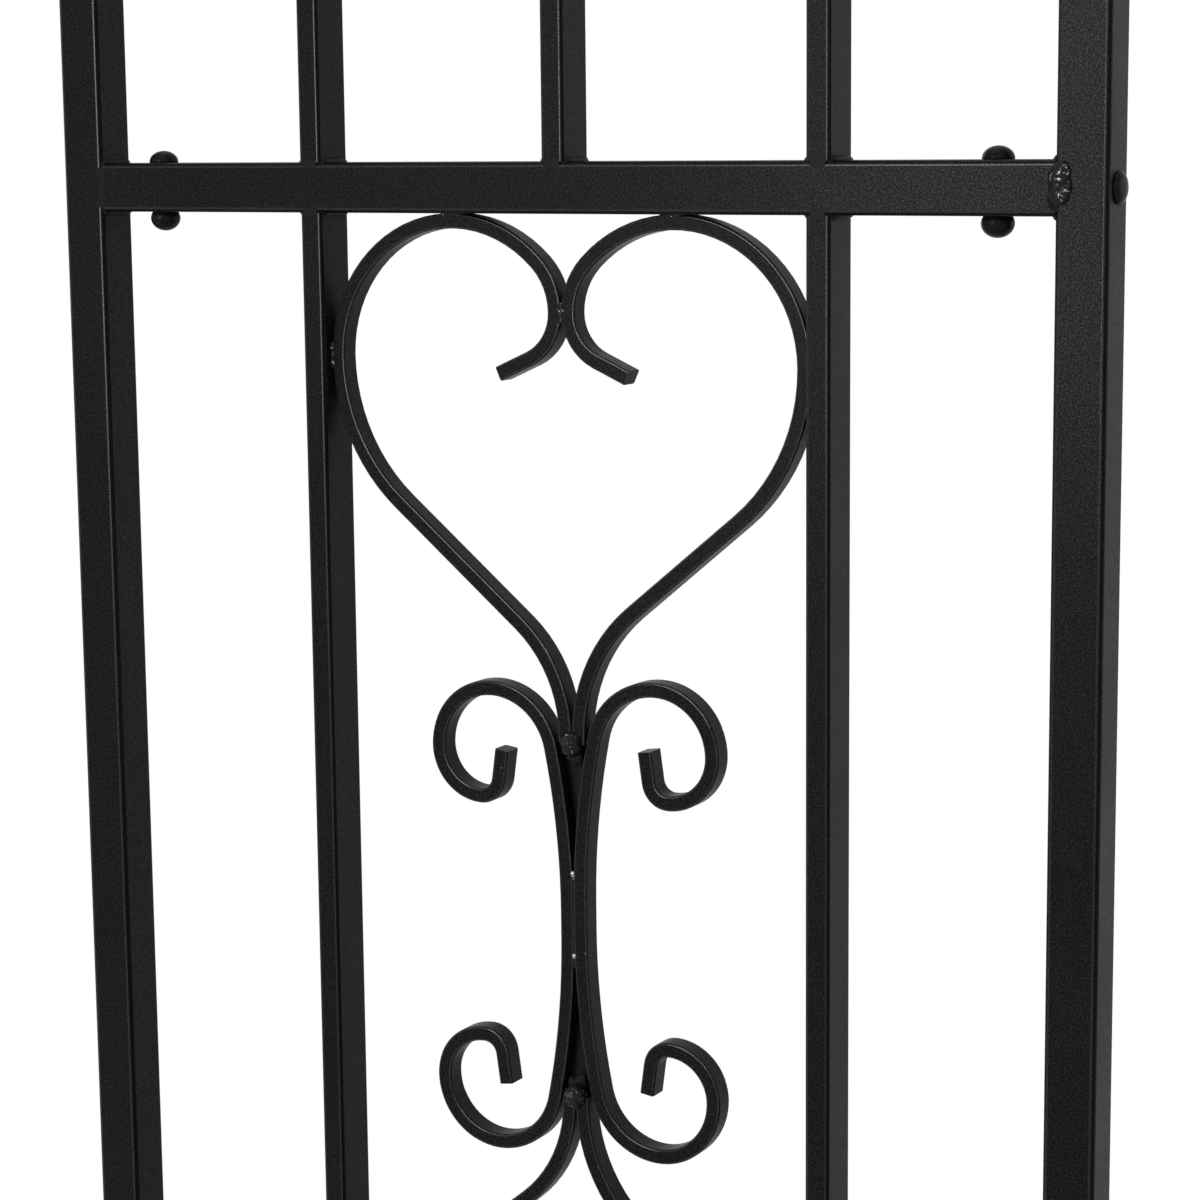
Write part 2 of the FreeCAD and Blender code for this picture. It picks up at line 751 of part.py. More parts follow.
def make_leaf(side):
    """One leaf: frame, upright bars and scroll block."""
    sign = SIDES[side]
    for name, x in (("hinge", hinge_stile_x), ("meeting", meeting_stile_x)):
        place = Vector(sign * x, leaf_y, size("leaf_bottom"))
        stile = tube_piece(f"{side}_gate_{name}_stile", "@leaf_top - @leaf_bottom", place, ALONG_Z)
        node(stile, f"{side}_gate_{name}_stile")
    start = min(sign * (meeting_stile_x + half_tube), sign * (hinge_stile_x - half_tube))
    span = "@arch_width / 2 - 3 * @tube - 1.5 * @leaf_gap"
    for name, z in (("top", leaf_top_z), ("middle", leaf_middle_z), ("bottom", leaf_bottom_z)):
        rail = tube_piece(f"{side}_gate_{name}_rail", span, Vector(start, leaf_y, z), ALONG_X)
        node(rail, f"{side}_gate_{name}_rail")
    make_leaf_bars(side)
    middle = Vector(sign * leaf_middle_x, leaf_y, (leaf_top_z + leaf_middle_z) / 2)
    scroll_block(f"{side}_gate", middle, UPRIGHT_ALONG_X)


def make_leaf_bars(side):
    """Four upright bars beside the scroll block and five below it."""
    pitch = size("bar_pitch")
    outer = (leaf_inside / 2 + pitch + size("bar_wide") / 2) / 2
    rows = [(leaf_middle_z, leaf_top_z, (-outer, -pitch, pitch, outer)),
            (leaf_bottom_z, leaf_middle_z, (-outer, -pitch, 0, pitch, outer))]
    members = []
    for low, high, places in rows:
        for place in places:
            spot = Vector(SIDES[side] * leaf_middle_x + place, leaf_y, low + half_tube)
            name = f"{side}_gate_bar_{len(members)}"
            members.append(bar_piece(name, f"{high - low} - @tube", spot, ALONG_Z))
    group(f"{side}_gate_bars", members)


# Hinges: a pin standing on a bracket on the post's front face, and an eye on the leaf.

hinge_x = inner_x - size("leaf_gap") / 2
hinge_y = -half_depth - size("hinge_offset")
hinge_levels = [size("leaf_bottom") + size("hinge_inset"),
                size("leaf_top") - size("hinge_inset") - size("eye_height")]


def hinge_pin(label, sign, place):
    """A bracket plate with a round end, welded to the post, and the pin that stands on it."""
    plate = part_object("Part::Box", label + "_plate")
    reach = "@leaf_gap / 2 + @bracket_reach"
    bind(plate, Length=reach, Width="2 * @hinge_offset", Height="@bracket_thick",
         **{"Placement.Base.y": "-@hinge_offset", "Placement.Base.z": "-@bracket_thick"})
    if sign < 0:
        bind(plate, **{"Placement.Base.x": f"-({reach})"})
    disc = part_object("Part::Cylinder", label + "_disc")
    bind(disc, Radius="@hinge_offset", Height="@bracket_thick", **{"Placement.Base.z": "-@bracket_thick"})
    pin = part_object("Part::Cylinder", label + "_pin")
    bind(pin, Radius="@pin_radius", Height="@eye_seat + @eye_height + @pin_stand")
    whole = part_object("Part::MultiFuse", label)
    whole.Shapes = [plate, disc, pin]
    whole.Placement.Base = place
    return whole


def hinge_eye(label, sign, place):
    """A ring that turns on the pin, with a flat lug welded to the front of the leaf."""
    ring = part_object("Part::Cylinder", label + "_ring")
    bind(ring, Radius="@eye_radius", Height="@eye_height")
    lug = part_object("Part::Box", label + "_lug")
    bind(lug, Length="@eye_lug", Width="@lug_thick", Height="@eye_height",
         **{"Placement.Base.y": "@hinge_offset - @lug_thick"})
    if sign > 0:
        bind(lug, **{"Placement.Base.x": "-@eye_lug"})
    blank = part_object("Part::MultiFuse", label + "_blank")
    blank.Shapes = [ring, lug]
    bore = part_object("Part::Cylinder", label + "_bore")
    bind(bore, Radius="@pin_radius + @pin_play", Height="@eye_height")
    eye = part_object("Part::Cut", label)
    eye.Base = blank
    eye.Tool = bore
    eye.Placement.Base = place
    return eye


def make_hinges(side):
    """Two pins on the post and two eyes on the leaf."""
    sign = SIDES[side]
    pins, eyes = [], []
    for index, level in enumerate(hinge_levels):
        axis = Vector(sign * hinge_x, hinge_y, level - size("eye_seat"))
        pins.append(hinge_pin(f"{side}_hinge_pin_{index}", sign, axis))
        eyes.append(hinge_eye(f"{side}_hinge_eye_{index}", sign, axis + Vector(0, 0, size("eye_seat"))))
    group(f"{side}_hinge_pins", pins)
    group(f"{side}_hinge_eyes", eyes)


def make_gate_stops():
    """A plate welded to the back of each front post, where the leaf comes to rest when closed."""
    stops = []
    middle_z = (size("leaf_bottom") + size("leaf_top") - size("stop_tall")) / 2
    for side, sign in SIDES.items():
        name = f"{side}_gate_stop"
        plate = part_object("Part::Box", name + "_plate")
        bind(plate, Length="@stop_reach + @stop_hold", Width="@stop_thick", Height="@stop_tall",
             **{"Placement.Base.x": "-@stop_reach" if sign > 0 else "-@stop_hold",
                "Placement.Base.y": "@stop_gap"})
        pad = part_object("Part::Box", name + "_pad")
        bind(pad, Length="@stop_hold - @tube_corner", Width="@stop_gap", Height="@stop_tall",
             **{"Placement.Base.x": "@tube_corner" if sign > 0 else "-@stop_hold"})
        stop = part_object("Part::MultiFuse", name)
        stop.Shapes = [plate, pad]
        stop.Placement.Base = Vector(sign * inner_x, -inner_y, middle_z)
        stops.append(stop)
    group("gate_stops", stops)


# Latch: a round bolt that slides along X in two ears on the right leaf, and a keeper on the
# left one.


def latch_mount(label, start, length, ears):
    """A back plate against the leaf's front with ears bored for the bolt, along its own +X."""
    plate = part_object("Part::Box", label + "_plate")
    tall = "2 * @latch_stand"
    bind(plate, Length=length, Width="@plate_back", Height=tall,
         **{"Placement.Base.y": "-@plate_back", "Placement.Base.z": "-@latch_stand"})
    solids, bores = [plate], []
    for index, ear_start in enumerate(ears):
        ear = part_object("Part::Box", f"{label}_ear_{index}")
        bind(ear, Length="@ear_thick", Width=tall, Height=tall,
             **{"Placement.Base.x": ear_start, "Placement.Base.y": "-2 * @latch_stand",
                "Placement.Base.z": "-@latch_stand"})
        bore = part_object("Part::Cylinder", f"{label}_bore_{index}")
        bore.Placement.Rotation = ALONG_X
        bind(bore, Radius="@latch_radius + @latch_play", Height="@ear_thick",
             **{"Placement.Base.x": ear_start, "Placement.Base.y": "-@latch_stand"})
        solids.append(ear)
        bores.append(bore)
    blank = part_object("Part::MultiFuse", label + "_blank")
    blank.Shapes = solids
    drilled = blank
    for index, bore in enumerate(bores):
        cut = part_object("Part::Cut", f"{label}_drilled_{index}")
        cut.Base = drilled
        cut.Tool = bore
        drilled = cut
    drilled.Placement.Base = Vector(start, -half_depth, leaf_top_z)
    return node(drilled, label)


def make_latch_bolt():
    """The sliding rod with its round knob, drawn back to its rest place."""
    rod = part_object("Part::Cylinder", "latch_rod")
    rod.Placement.Rotation = ALONG_X
    bind(rod, Radius="@latch_radius", Height="@latch_length")
    knob_x = "@guide_start + @ear_thick + @knob_margin + @latch_travel - @latch_start"
    stem = part_object("Part::Cylinder", "latch_stem")
    stem.Placement.Rotation = Rotation(Vector(1, 0, 0), 90)
    bind(stem, Radius="@knob_radius", Height="@knob_reach", **{"Placement.Base.x": knob_x})
    ball = part_object("Part::Sphere", "latch_ball")
    bind(ball, Radius="@knob_ball", **{"Placement.Base.x": knob_x, "Placement.Base.y": "-@knob_reach"})
    bolt = part_object("Part::MultiFuse", "latch_bolt")
    bolt.Shapes = [rod, stem, ball]
    bolt.Placement.Base = Vector(size("latch_start"), -half_depth - size("latch_stand"), leaf_top_z)
    node(bolt, "latch_bolt")


def make_latch():
    """Guide, keeper and bolt."""
    guide_length = "@guide_end - @guide_start"
    guide_ears = ["0", f"{guide_length} - @ear_thick"]
    latch_mount("latch_guide", size("guide_start"), guide_length, guide_ears)
    keeper_start = -size("keeper_start") - size("keeper_length")
    latch_mount("latch_keeper", keeper_start, "@keeper_length", ["@keeper_length - @ear_thick"])
    make_latch_bolt()


for side in SIDES:
    for end in ENDS:
        make_post(side, end)
    make_side(side)
    make_leaf(side)
    make_hinges(side)
make_gate_stops()
make_hoops()
make_vine_bars()
make_rungs()
make_sleeves()
make_rail_fittings()
make_sleeve_screws()
make_foot_plates()
make_latch()
doc.recompute()

for thing in doc.Objects:
    if {"Invalid", "Error"} & set(thing.State):
        raise RuntimeError(f"{thing.Name} could not be built: {thing.State}")
for piece in nodes:
    if piece.Shape.isNull() or not piece.Shape.isValid():
        raise RuntimeError(f"{piece.Label} has no valid shape")

os.makedirs("parts", exist_ok=True)
for piece in nodes:
    piece.Shape.exportStep(os.path.join("parts", piece.Label + ".step"))
print(len(nodes), "pieces written")
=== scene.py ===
# %% [markdown]
# # A garden arch with a double gate, dressed for a portrait
# The arch is welded from square steel tube and flat bar. Hearts and scrolls of thin flat bar,
# bent on edge, fill its sides, and black powder paint covers it all. The bodies come from a
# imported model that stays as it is. What is made here is what the welder and the painter add:
# weld seams, round bolt heads, eased edges and the grain of the paint.

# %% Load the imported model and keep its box
import math
import random

import bmesh
import bpy
from mathutils import Matrix, Vector, noise


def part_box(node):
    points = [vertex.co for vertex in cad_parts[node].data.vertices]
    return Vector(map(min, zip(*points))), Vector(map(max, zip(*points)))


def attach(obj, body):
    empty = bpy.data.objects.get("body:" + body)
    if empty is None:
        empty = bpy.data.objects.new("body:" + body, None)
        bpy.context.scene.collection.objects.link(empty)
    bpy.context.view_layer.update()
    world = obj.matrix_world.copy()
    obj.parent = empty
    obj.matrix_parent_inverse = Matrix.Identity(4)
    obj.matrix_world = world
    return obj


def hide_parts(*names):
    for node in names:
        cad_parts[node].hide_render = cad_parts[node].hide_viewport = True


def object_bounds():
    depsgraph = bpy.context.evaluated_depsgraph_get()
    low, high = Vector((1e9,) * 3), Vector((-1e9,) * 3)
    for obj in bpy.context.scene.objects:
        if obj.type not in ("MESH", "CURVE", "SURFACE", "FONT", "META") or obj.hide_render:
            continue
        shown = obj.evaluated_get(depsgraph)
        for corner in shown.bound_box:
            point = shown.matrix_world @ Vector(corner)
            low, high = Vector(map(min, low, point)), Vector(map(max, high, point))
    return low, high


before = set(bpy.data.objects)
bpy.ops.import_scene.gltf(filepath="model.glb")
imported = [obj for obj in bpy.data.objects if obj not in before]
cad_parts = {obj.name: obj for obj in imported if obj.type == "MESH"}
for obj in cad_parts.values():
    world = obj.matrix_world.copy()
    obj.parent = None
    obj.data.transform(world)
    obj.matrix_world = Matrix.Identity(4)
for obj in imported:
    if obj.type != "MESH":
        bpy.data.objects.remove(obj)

CAD_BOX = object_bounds()
MM = 0.001
print("nodes loaded:", len(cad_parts))

# %% [markdown]
# ## The camera
# The photograph looks from the passage at one side of the arch, so closely that only a part of
# one panel shows. A long lens at a little over a metre gives the same slight convergence. The
# camera is placed by its heading, its downward tilt and a very small roll, all in radians. Depth
# of field stays off, because the whole panel is sharp.

# %% Place the camera
CAMERA_PLACE = Vector((-0.4345, -0.5853, 1.4722))
HEADING = 0.504
DOWNWARD = 0.155
ROLL = -0.010
FOCAL_PIXELS = 3015
PHOTO_PIXELS = 1200


def in_scene(name, data):
    """A new object, linked into the scene."""
    thing = bpy.data.objects.new(name, data)
    bpy.context.scene.collection.objects.link(thing)
    return thing


forward = Vector((math.cos(HEADING) * math.cos(DOWNWARD),
                  math.sin(HEADING) * math.cos(DOWNWARD),
                  -math.sin(DOWNWARD)))
level_right = Vector((math.sin(HEADING), -math.cos(HEADING), 0))
level_up = level_right.cross(forward)
right = math.cos(ROLL) * level_right + math.sin(ROLL) * level_up
up = math.cos(ROLL) * level_up - math.sin(ROLL) * level_right

lens = bpy.data.cameras.new("portrait_camera")
lens.lens = FOCAL_PIXELS / PHOTO_PIXELS * lens.sensor_width
camera = in_scene("portrait_camera", lens)
turn = Matrix((right, up, -forward)).transposed().to_4x4()
camera.matrix_world = Matrix.Translation(CAMERA_PLACE) @ turn
bpy.context.scene.camera = camera
print("lens in mm:", round(lens.lens, 2))

# %% [markdown]
# ## Writing shader sums as plain Python
# A paint film varies over its surface in many small ways, and each way is a sum or a product of
# a few noise patterns. Written node by node, such sums are hard to read. A small class that
# stands for one output of a node lets them be written with the usual signs instead.

# %% A wire that knows its sums
class Wire:
    """One output of a shader node, which can be added, multiplied and compared.

    The sign | gives the larger of two values.
    """

    def __init__(self, finish, socket):
        self.finish = finish
        self.socket = socket

    def sum(self, operation, first, second):
        return self.finish.add("ShaderNodeMath", {"operation": operation}, {0: first, 1: second})

    def __add__(self, other):
        return self.sum("ADD", self, other)

    def __sub__(self, other):
        return self.sum("SUBTRACT", self, other)

    def __rsub__(self, other):
        return self.sum("SUBTRACT", other, self)

    def __mul__(self, other):
        return self.sum("MULTIPLY", self, other)

    def __gt__(self, other):
        return self.sum("GREATER_THAN", self, other)

    def __lt__(self, other):
        return self.sum("LESS_THAN", self, other)

    def __or__(self, other):
        return self.sum("MAXIMUM", self, other)

    __radd__ = __add__
    __rmul__ = __mul__


# %% [markdown]
# ## A finish under construction
# Every material starts as one principled shader. Nodes are added through a single method that
# sets a node's own choices first and its sockets after that, so each line of a recipe says what
# the node is and what feeds it. What is the same all over the surface is set on the shader.

# %% One method for any node
class Finish:
    """A material being made, with one principled shader."""

    def __init__(self, name, tree=None):
        if tree is None:
            self.material = bpy.data.materials.new(name)
            self.material.use_nodes = True
            tree = self.material.node_tree
        self.tree = tree

    def add(self, kind, settings, sockets, output=0):
        """Add a node: its settings first, then the value or wire of each socket it names."""
        node = self.tree.nodes.new(kind)
        for key, value in settings.items():
            setattr(node, key, value)
        for key, value in sockets.items():
            self.feed(node.inputs[key], value)
        return Wire(self, node.outputs[output]) if node.outputs else None

    def feed(self, socket, value):
        """Set a socket, or link it where the value is a wire."""
        if isinstance(value, Wire):
            self.tree.links.new(value.socket, socket)
        else:
            socket.default_value = value

    def shade(self, sockets):
        """Set or link sockets of the principled shader."""
        shader = self.tree.nodes["Principled BSDF"]
        for key, value in sockets.items():
            self.feed(shader.inputs[key], value)

    def place(self):
        """Object coordinates, in metres."""
        return self.add("ShaderNodeTexCoord", {}, {}, output="Object")

    def turned_away(self, axis):
        """How far the surface has turned from an axis: 0 facing along it, 1 square to it."""
        normal = self.add("ShaderNodeTexCoord", {}, {}, output="Normal")
        tilt = self.add("ShaderNodeSeparateXYZ", {}, {"Vector": normal}, output=axis)
        return 1 - tilt * tilt

    def bump(self, height, strength, depth):
        """A normal bent by a height pattern, depth in metres."""
        return self.add("ShaderNodeBump", {}, {"Strength": strength, "Distance": depth,
                                               "Height": height})


# %% [markdown]
# ## Black powder paint
# Powder paint is sprayed on dry and baked, and its skin isn't smooth. Close up, a satin black
# coat shows sparkling grains of about half a millimetre, dimples of a few millimetres and a slow
# drift of tone along the metal, and a few specks of dust lie on it. All of it is made from noise
# in object coordinates, so it is the right size on every piece.

# %% Noise, and a colour between two others
GRAIN_SIZE = 0.45 * MM
MOTTLE_SIZE = 0.8 * MM
DIMPLE_SIZE = 2.6 * MM
DRIFT_SIZE = 60 * MM


def grey(level):
    """A colour with the same level of red, green and blue."""
    return (level, level, level)


def colour_between(finish, dark, light, factor):
    """A colour that goes from dark to light with a factor; either may be a wire."""
    ends = [shade if isinstance(shade, Wire) else (*shade, 1) for shade in (dark, light)]
    # The names of the sockets repeat, so numbers pick those for colours.
    return finish.add("ShaderNodeMix", {"data_type": "RGBA"}, {0: factor, 6: ends[0], 7: ends[1]},
                      output=2)


def noise_of(finish, where, feature, detail=2.0, roughness=0.5):
    """A noise pattern whose features are about as large as given, in metres."""
    return finish.add("ShaderNodeTexNoise", {}, {"Vector": where, "Scale": 1 / feature,
                                                 "Detail": detail, "Roughness": roughness})


# %% [markdown]
# Paint draws back from a rounded corner as it melts, so it is thin and smooth on the brow of the
# corner. Beyond the brow, the rest of the corner has its colour darkened: this is painted shade,
# a dark reflection painted into the colour. Both bands are found from how far the surface has
# turned away from the face. A second, glossy layer over the paint mirrors the lights on the brow,
# and a little on the tops of the grains, which gives the faces a soft grainy sheen.

# %% The recipe for powder paint
SPECK_SPACING = 14 * MM
SPECK_SHARE = 0.03
SPECK_CHANCE = 0.3
DUST_COLOUR = (0.10, 0.099, 0.097)
SPARKLE_FROM = 0.64
FACE_TURN = 0.004
SIDE_TURN = 0.97
GRAIN_CONTRAST = 3.2
SHEEN_CONTRAST = 6
LEAST_SHEEN = 0.3
SKIN_DEPTH = 0.08 * MM


def dust_on(finish, where):
    """1 inside small specks, whose radius is a share of their spacing, and 0 elsewhere."""
    spread = {"Vector": where, "Scale": 1 / SPECK_SPACING}
    distance = finish.add("ShaderNodeTexVoronoi", {}, spread)
    colour = finish.add("ShaderNodeTexVoronoi", {}, spread, output="Color")
    chance = finish.add("ShaderNodeSeparateColor", {}, {"Color": colour})
    return (distance < SPECK_SHARE) * (chance > 1 - SPECK_CHANCE)


def powder_paint(name, axis, dark, light, roughness, brow, gloss, sheen, grain=1.0):
    """A satin powder coat for a bar whose show faces look along an axis.

    Its corners mirror up to a turn of brow, with a strength that gloss shifts, and beyond brow the
    rest of each corner gets a darker colour, which is painted shade. Sheen is the strength of the
    mirroring grains on its faces.
    """
    finish = Finish(name)
    where = finish.place()
    fine = noise_of(finish, where, GRAIN_SIZE)
    mottle = noise_of(finish, where, MOTTLE_SIZE)
    dimples = noise_of(finish, where, DIMPLE_SIZE, detail=1.0)
    drift = noise_of(finish, where, DRIFT_SIZE, detail=3.0)
    dust = dust_on(finish, where)
    sparkle = fine > SPARKLE_FROM
    turned_by = finish.turned_away(axis)
    glossy = (turned_by > FACE_TURN) * (turned_by < brow)
    # The rest of each rounded corner, from brow to the side face, is darkened in colour below:
    # painted shade.
    painted_shade = (turned_by > brow) * (turned_by < SIDE_TURN)
    tone = (fine + mottle - 1) * GRAIN_CONTRAST + drift * 0.5 - 0.1 - painted_shade * 2
    specks = (dust * 0.6 + sparkle * 0.15) * (1 - painted_shade)
    grains = (fine + mottle - 1) * SHEEN_CONTRAST + 1 | LEAST_SHEEN
    finish.shade({
        "Base Color": colour_between(finish, colour_between(finish, dark, light, tone),
                                     DUST_COLOUR, specks),
        "Roughness": drift * 0.16 + fine * 0.12 - sparkle * 0.06 + dust * 0.2 + (roughness - 0.14),
        "Specular IOR Level": 0.05,
        "Coat Weight": glossy * (fine * 1.2 + gloss) + grains * sheen,
        "Coat Roughness": 0.2,
        "Normal": finish.bump(fine * grain + dimples * 0.8, 0.45, SKIN_DEPTH),
    })
    return finish.material


# %% [markdown]
# The square tube, the flat bars and the thin bars of the scrolls get paints of their own. Each
# has one paint for pieces whose show faces look along X, such as the side panels, and one for
# those that look along Y, such as the gate and the hoops.

# %% Six powder paints
def both_ways(kind, **looks):
    """The paints of one kind of bar, by the axis that its show faces look along."""
    return {axis: powder_paint(f"{kind}_paint_{axis}", axis, **looks) for axis in ("X", "Y")}


tube_paint = both_ways("tube", dark=grey(0.0002), light=(0.0080, 0.0079, 0.0082),
                       roughness=0.42, brow=0.18, gloss=-0.25, sheen=0.042)
bar_paint = both_ways("bar", dark=grey(0.0005), light=(0.0110, 0.0108, 0.0111),
                      roughness=0.40, brow=0.22, gloss=-0.25, sheen=0.02)
scroll_paint = both_ways("scroll", dark=grey(0.0009), light=(0.0140, 0.0137, 0.0141),
                         roughness=0.37, brow=0.5, gloss=-0.05, sheen=0.01, grain=0.7)
print("paints made:", len(bpy.data.materials))

# %% [markdown]
# ## Paint on weld and on small fittings
# Paint pulls away from the sharp ripples of a weld and lies thick in between, and on small,
# lumpy beads bare steel glints on top. Bolt heads and fittings have a smooth enamel, and the
# latch rod shows where metal rubs on metal.

# %% A smooth enamel that can be worn
BARE_STEEL = (0.33, 0.33, 0.34)
EVERYWHERE = [(-1.0, 1.0)]
RIPPLE_DEPTH = 0.15 * MM


def enamel(name, dark, light, roughness, ripple, shine, rubbed=None, whole=0.47,
           patch=1.1 * MM):
    """A smooth black with soft ripples; rubbed gives the spans along X that are worn bare.

    There the paint is still whole where a noise with features of patch stays below whole.
    """
    finish = Finish(name)
    where = finish.place()
    waves = noise_of(finish, where, ripple, detail=1.5)
    fine = noise_of(finish, where, GRAIN_SIZE)
    shown = colour_between(finish, dark, light, waves * 0.8 + fine * 0.3)
    rough = waves * 0.14 + fine * 0.08 + (roughness - 0.11)
    if rubbed:
        along = finish.add("ShaderNodeSeparateXYZ", {}, {"Vector": where}, output="X")
        scratches = noise_of(finish, where, patch, detail=4.0, roughness=0.7)
        worn = None
        for start, end in rubbed:
            span = (along > start) * (along < end)
            worn = span if worn is None else worn + span
        worn = worn * (scratches > whole)
        shown = colour_between(finish, shown, BARE_STEEL, worn)
        rough = rough + worn * 0.08
        finish.shade({"Metallic": worn * 0.9})
    finish.shade({"Base Color": shown, "Roughness": rough, "Specular IOR Level": shine,
                  "Normal": finish.bump(waves + fine * 0.3, 0.35, RIPPLE_DEPTH)})
    return finish.material


# %% [markdown]
# Every kind of bead has its own paint: a seam is dull, a blob glints here and there, and a spot
# and a pad glint most. The latch rod is worn at its tip and where it slides in its guide.

# %% Paints for welds, heads and fittings
BEAD_RIPPLE = 1.2 * MM
BARED = {"shine": 0.12, "rubbed": EVERYWHERE}
WELD_PAINTS = {
    "seam": enamel("seam_paint", grey(0.003), grey(0.011), 0.40, BEAD_RIPPLE, shine=0.05),
    "blob": enamel("blob_paint", grey(0.003), grey(0.010), 0.22, BEAD_RIPPLE, **BARED,
                   whole=0.64, patch=2.4 * MM),
    "spot": enamel("spot_paint", grey(0.003), grey(0.012), 0.20, BEAD_RIPPLE, **BARED,
                   whole=0.45, patch=1.6 * MM),
    "pad": enamel("pad_paint", grey(0.003), grey(0.012), 0.20, BEAD_RIPPLE, **BARED,
                  whole=0.60, patch=2.8 * MM),
}
head_enamel = enamel("head_enamel", grey(0.002), (0.008, 0.008, 0.009), 0.30, 3 * MM, shine=0.05)
FITTING_LIGHT = (0.013, 0.013, 0.014)
FITTING_RIPPLE = 4 * MM
fitting_enamel = enamel("fitting_enamel", grey(0.005), FITTING_LIGHT, 0.36, FITTING_RIPPLE,
                        shine=0.14)

TIP_WEAR = (0, 4 * MM)
GUIDE_WEAR = (15 * MM, 46 * MM)
rod_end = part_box("latch_bolt")[0].x
worn_spans = [(rod_end + start, rod_end + end) for start, end in (TIP_WEAR, GUIDE_WEAR)]
latch_enamel = enamel("latch_enamel", grey(0.005), FITTING_LIGHT, 0.34, FITTING_RIPPLE,
                      shine=0.14, rubbed=worn_spans)
print("paints made:", len(bpy.data.materials))

# %% [markdown]
# ## Zinc on what is hidden
# The sleeves and plugs inside the joints are never painted. They are zinc plated, which leaves
# a pale grey metal with a fine drawn grain and a faint cloudiness.

# %% Zinc plate
CLOUD_SIZE = 9 * MM
DRAWN_SIZE = 0.6 * MM
DRAWN_ALONG_Z = (1, 1, 0.05)
zinc = Finish("zinc_plate")
cloud = noise_of(zinc, zinc.place(), CLOUD_SIZE, detail=3.0)
stretched = zinc.add("ShaderNodeMapping", {}, {"Vector": zinc.place(), "Scale": DRAWN_ALONG_Z})
drawn = noise_of(zinc, stretched, DRAWN_SIZE)
zinc.shade({
    "Metallic": 1.0,
    "Roughness": cloud * 0.2 + drawn * 0.1 + 0.25,
    "Base Color": colour_between(zinc, (0.36, 0.37, 0.38), (0.58, 0.58, 0.60), cloud),
    "Normal": zinc.bump(drawn, 0.2, 0.04 * MM),
})
print("nodes of zinc plate:", len(zinc.tree.nodes))

# %% [markdown]
# ## Painting the model
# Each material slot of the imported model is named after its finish, so the name picks the paint.
# For the powder paints, the name of the node tells which way its show faces look.

# %% Paint the nodes of the model
FACING_Y = ("gate", "hoop", "vine", "rung")
PAINT_OF_SLOT = {
    "frame_coat": tube_paint, "bar_coat": bar_paint, "scroll_coat": scroll_paint,
    "hinge_coat": fitting_enamel, "latch_coat": latch_enamel, "fastener_coat": head_enamel,
    "inner_steel": zinc.material,
}
for name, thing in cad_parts.items():
    facing_axis = "Y" if any(word in name for word in FACING_Y) else "X"
    for place in thing.material_slots:
        kind = next((slot for slot in PAINT_OF_SLOT if slot in place.material.name), "frame_coat")
        paint = PAINT_OF_SLOT[kind]
        place.material = paint[facing_axis] if isinstance(paint, dict) else paint
print("slots painted:", sum(len(thing.material_slots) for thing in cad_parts.values()))

# %% [markdown]
# ## Taking places from the model
# Seams and bolt heads sit where the model's bodies meet, so their places are read from its nodes.
# Several nodes hold a row of like bars or bolts. Walking over the edges of a node's mesh, from
# vertex to vertex, finds which vertices belong to one solid.

# %% Split a node into its solids
SAME_PLACE = 0.001 * MM


def joined(name):
    """The mesh of a node, with vertices in the same place made one."""
    mesh = bmesh.new()
    mesh.from_mesh(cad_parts[name].data)
    bmesh.ops.remove_doubles(mesh, verts=mesh.verts, dist=SAME_PLACE)
    return mesh


def solids_of(name):
    """The places of the vertices of each separate solid in a node."""
    mesh = joined(name)
    solids, seen = [], set()
    for start in mesh.verts:
        if start in seen:
            continue
        seen.add(start)
        waiting, solid = [start], []
        while waiting:
            vert = waiting.pop()
            solid.append(vert.co.copy())
            for edge in vert.link_edges:
                other = edge.other_vert(vert)
                if other not in seen:
                    seen.add(other)
                    waiting.append(other)
        solids.append(solid)
    mesh.free()
    return solids


def box_of(points):
    """Lowest and highest corner of some places."""
    return (Vector([min(point[axis] for point in points) for axis in range(3)]),
            Vector([max(point[axis] for point in points) for axis in range(3)]))


def boxes_of(name):
    """Lowest and highest corner of each solid in a node."""
    return [box_of(solid) for solid in solids_of(name)]


def middle_at(low, high, **given):
    """The middle of a box, with some of its coordinates given instead."""
    middle = (low + high) / 2
    for axis, value in given.items():
        setattr(middle, axis, value)
    return middle


print("solids in the vine bars:", len(boxes_of("vine_bars")))

# %% [markdown]
# ## A bead of weld
# A weld is laid as a row of small puddles that freeze one over the other, which leaves ripples
# across the bead and a rounded start and end. A bead is made here from a sphere with its poles
# at the two ends. The rings between the poles are spread along the seam, and each ring is pushed
# out by the ripples and by lumps of noise.

# %% One bead, made from a sphere
RIPPLE_PITCH = 1.5 * MM
RIPPLE_HEIGHT = 0.07
LUMP_SIZE = 2.2 * MM
RING_PITCH = 0.75 * MM
FEWEST_RINGS = 8
BEAD_SIDES = 10
VARIANTS = 3
VARIANT_STEP = 31.7
bead_shapes = {}


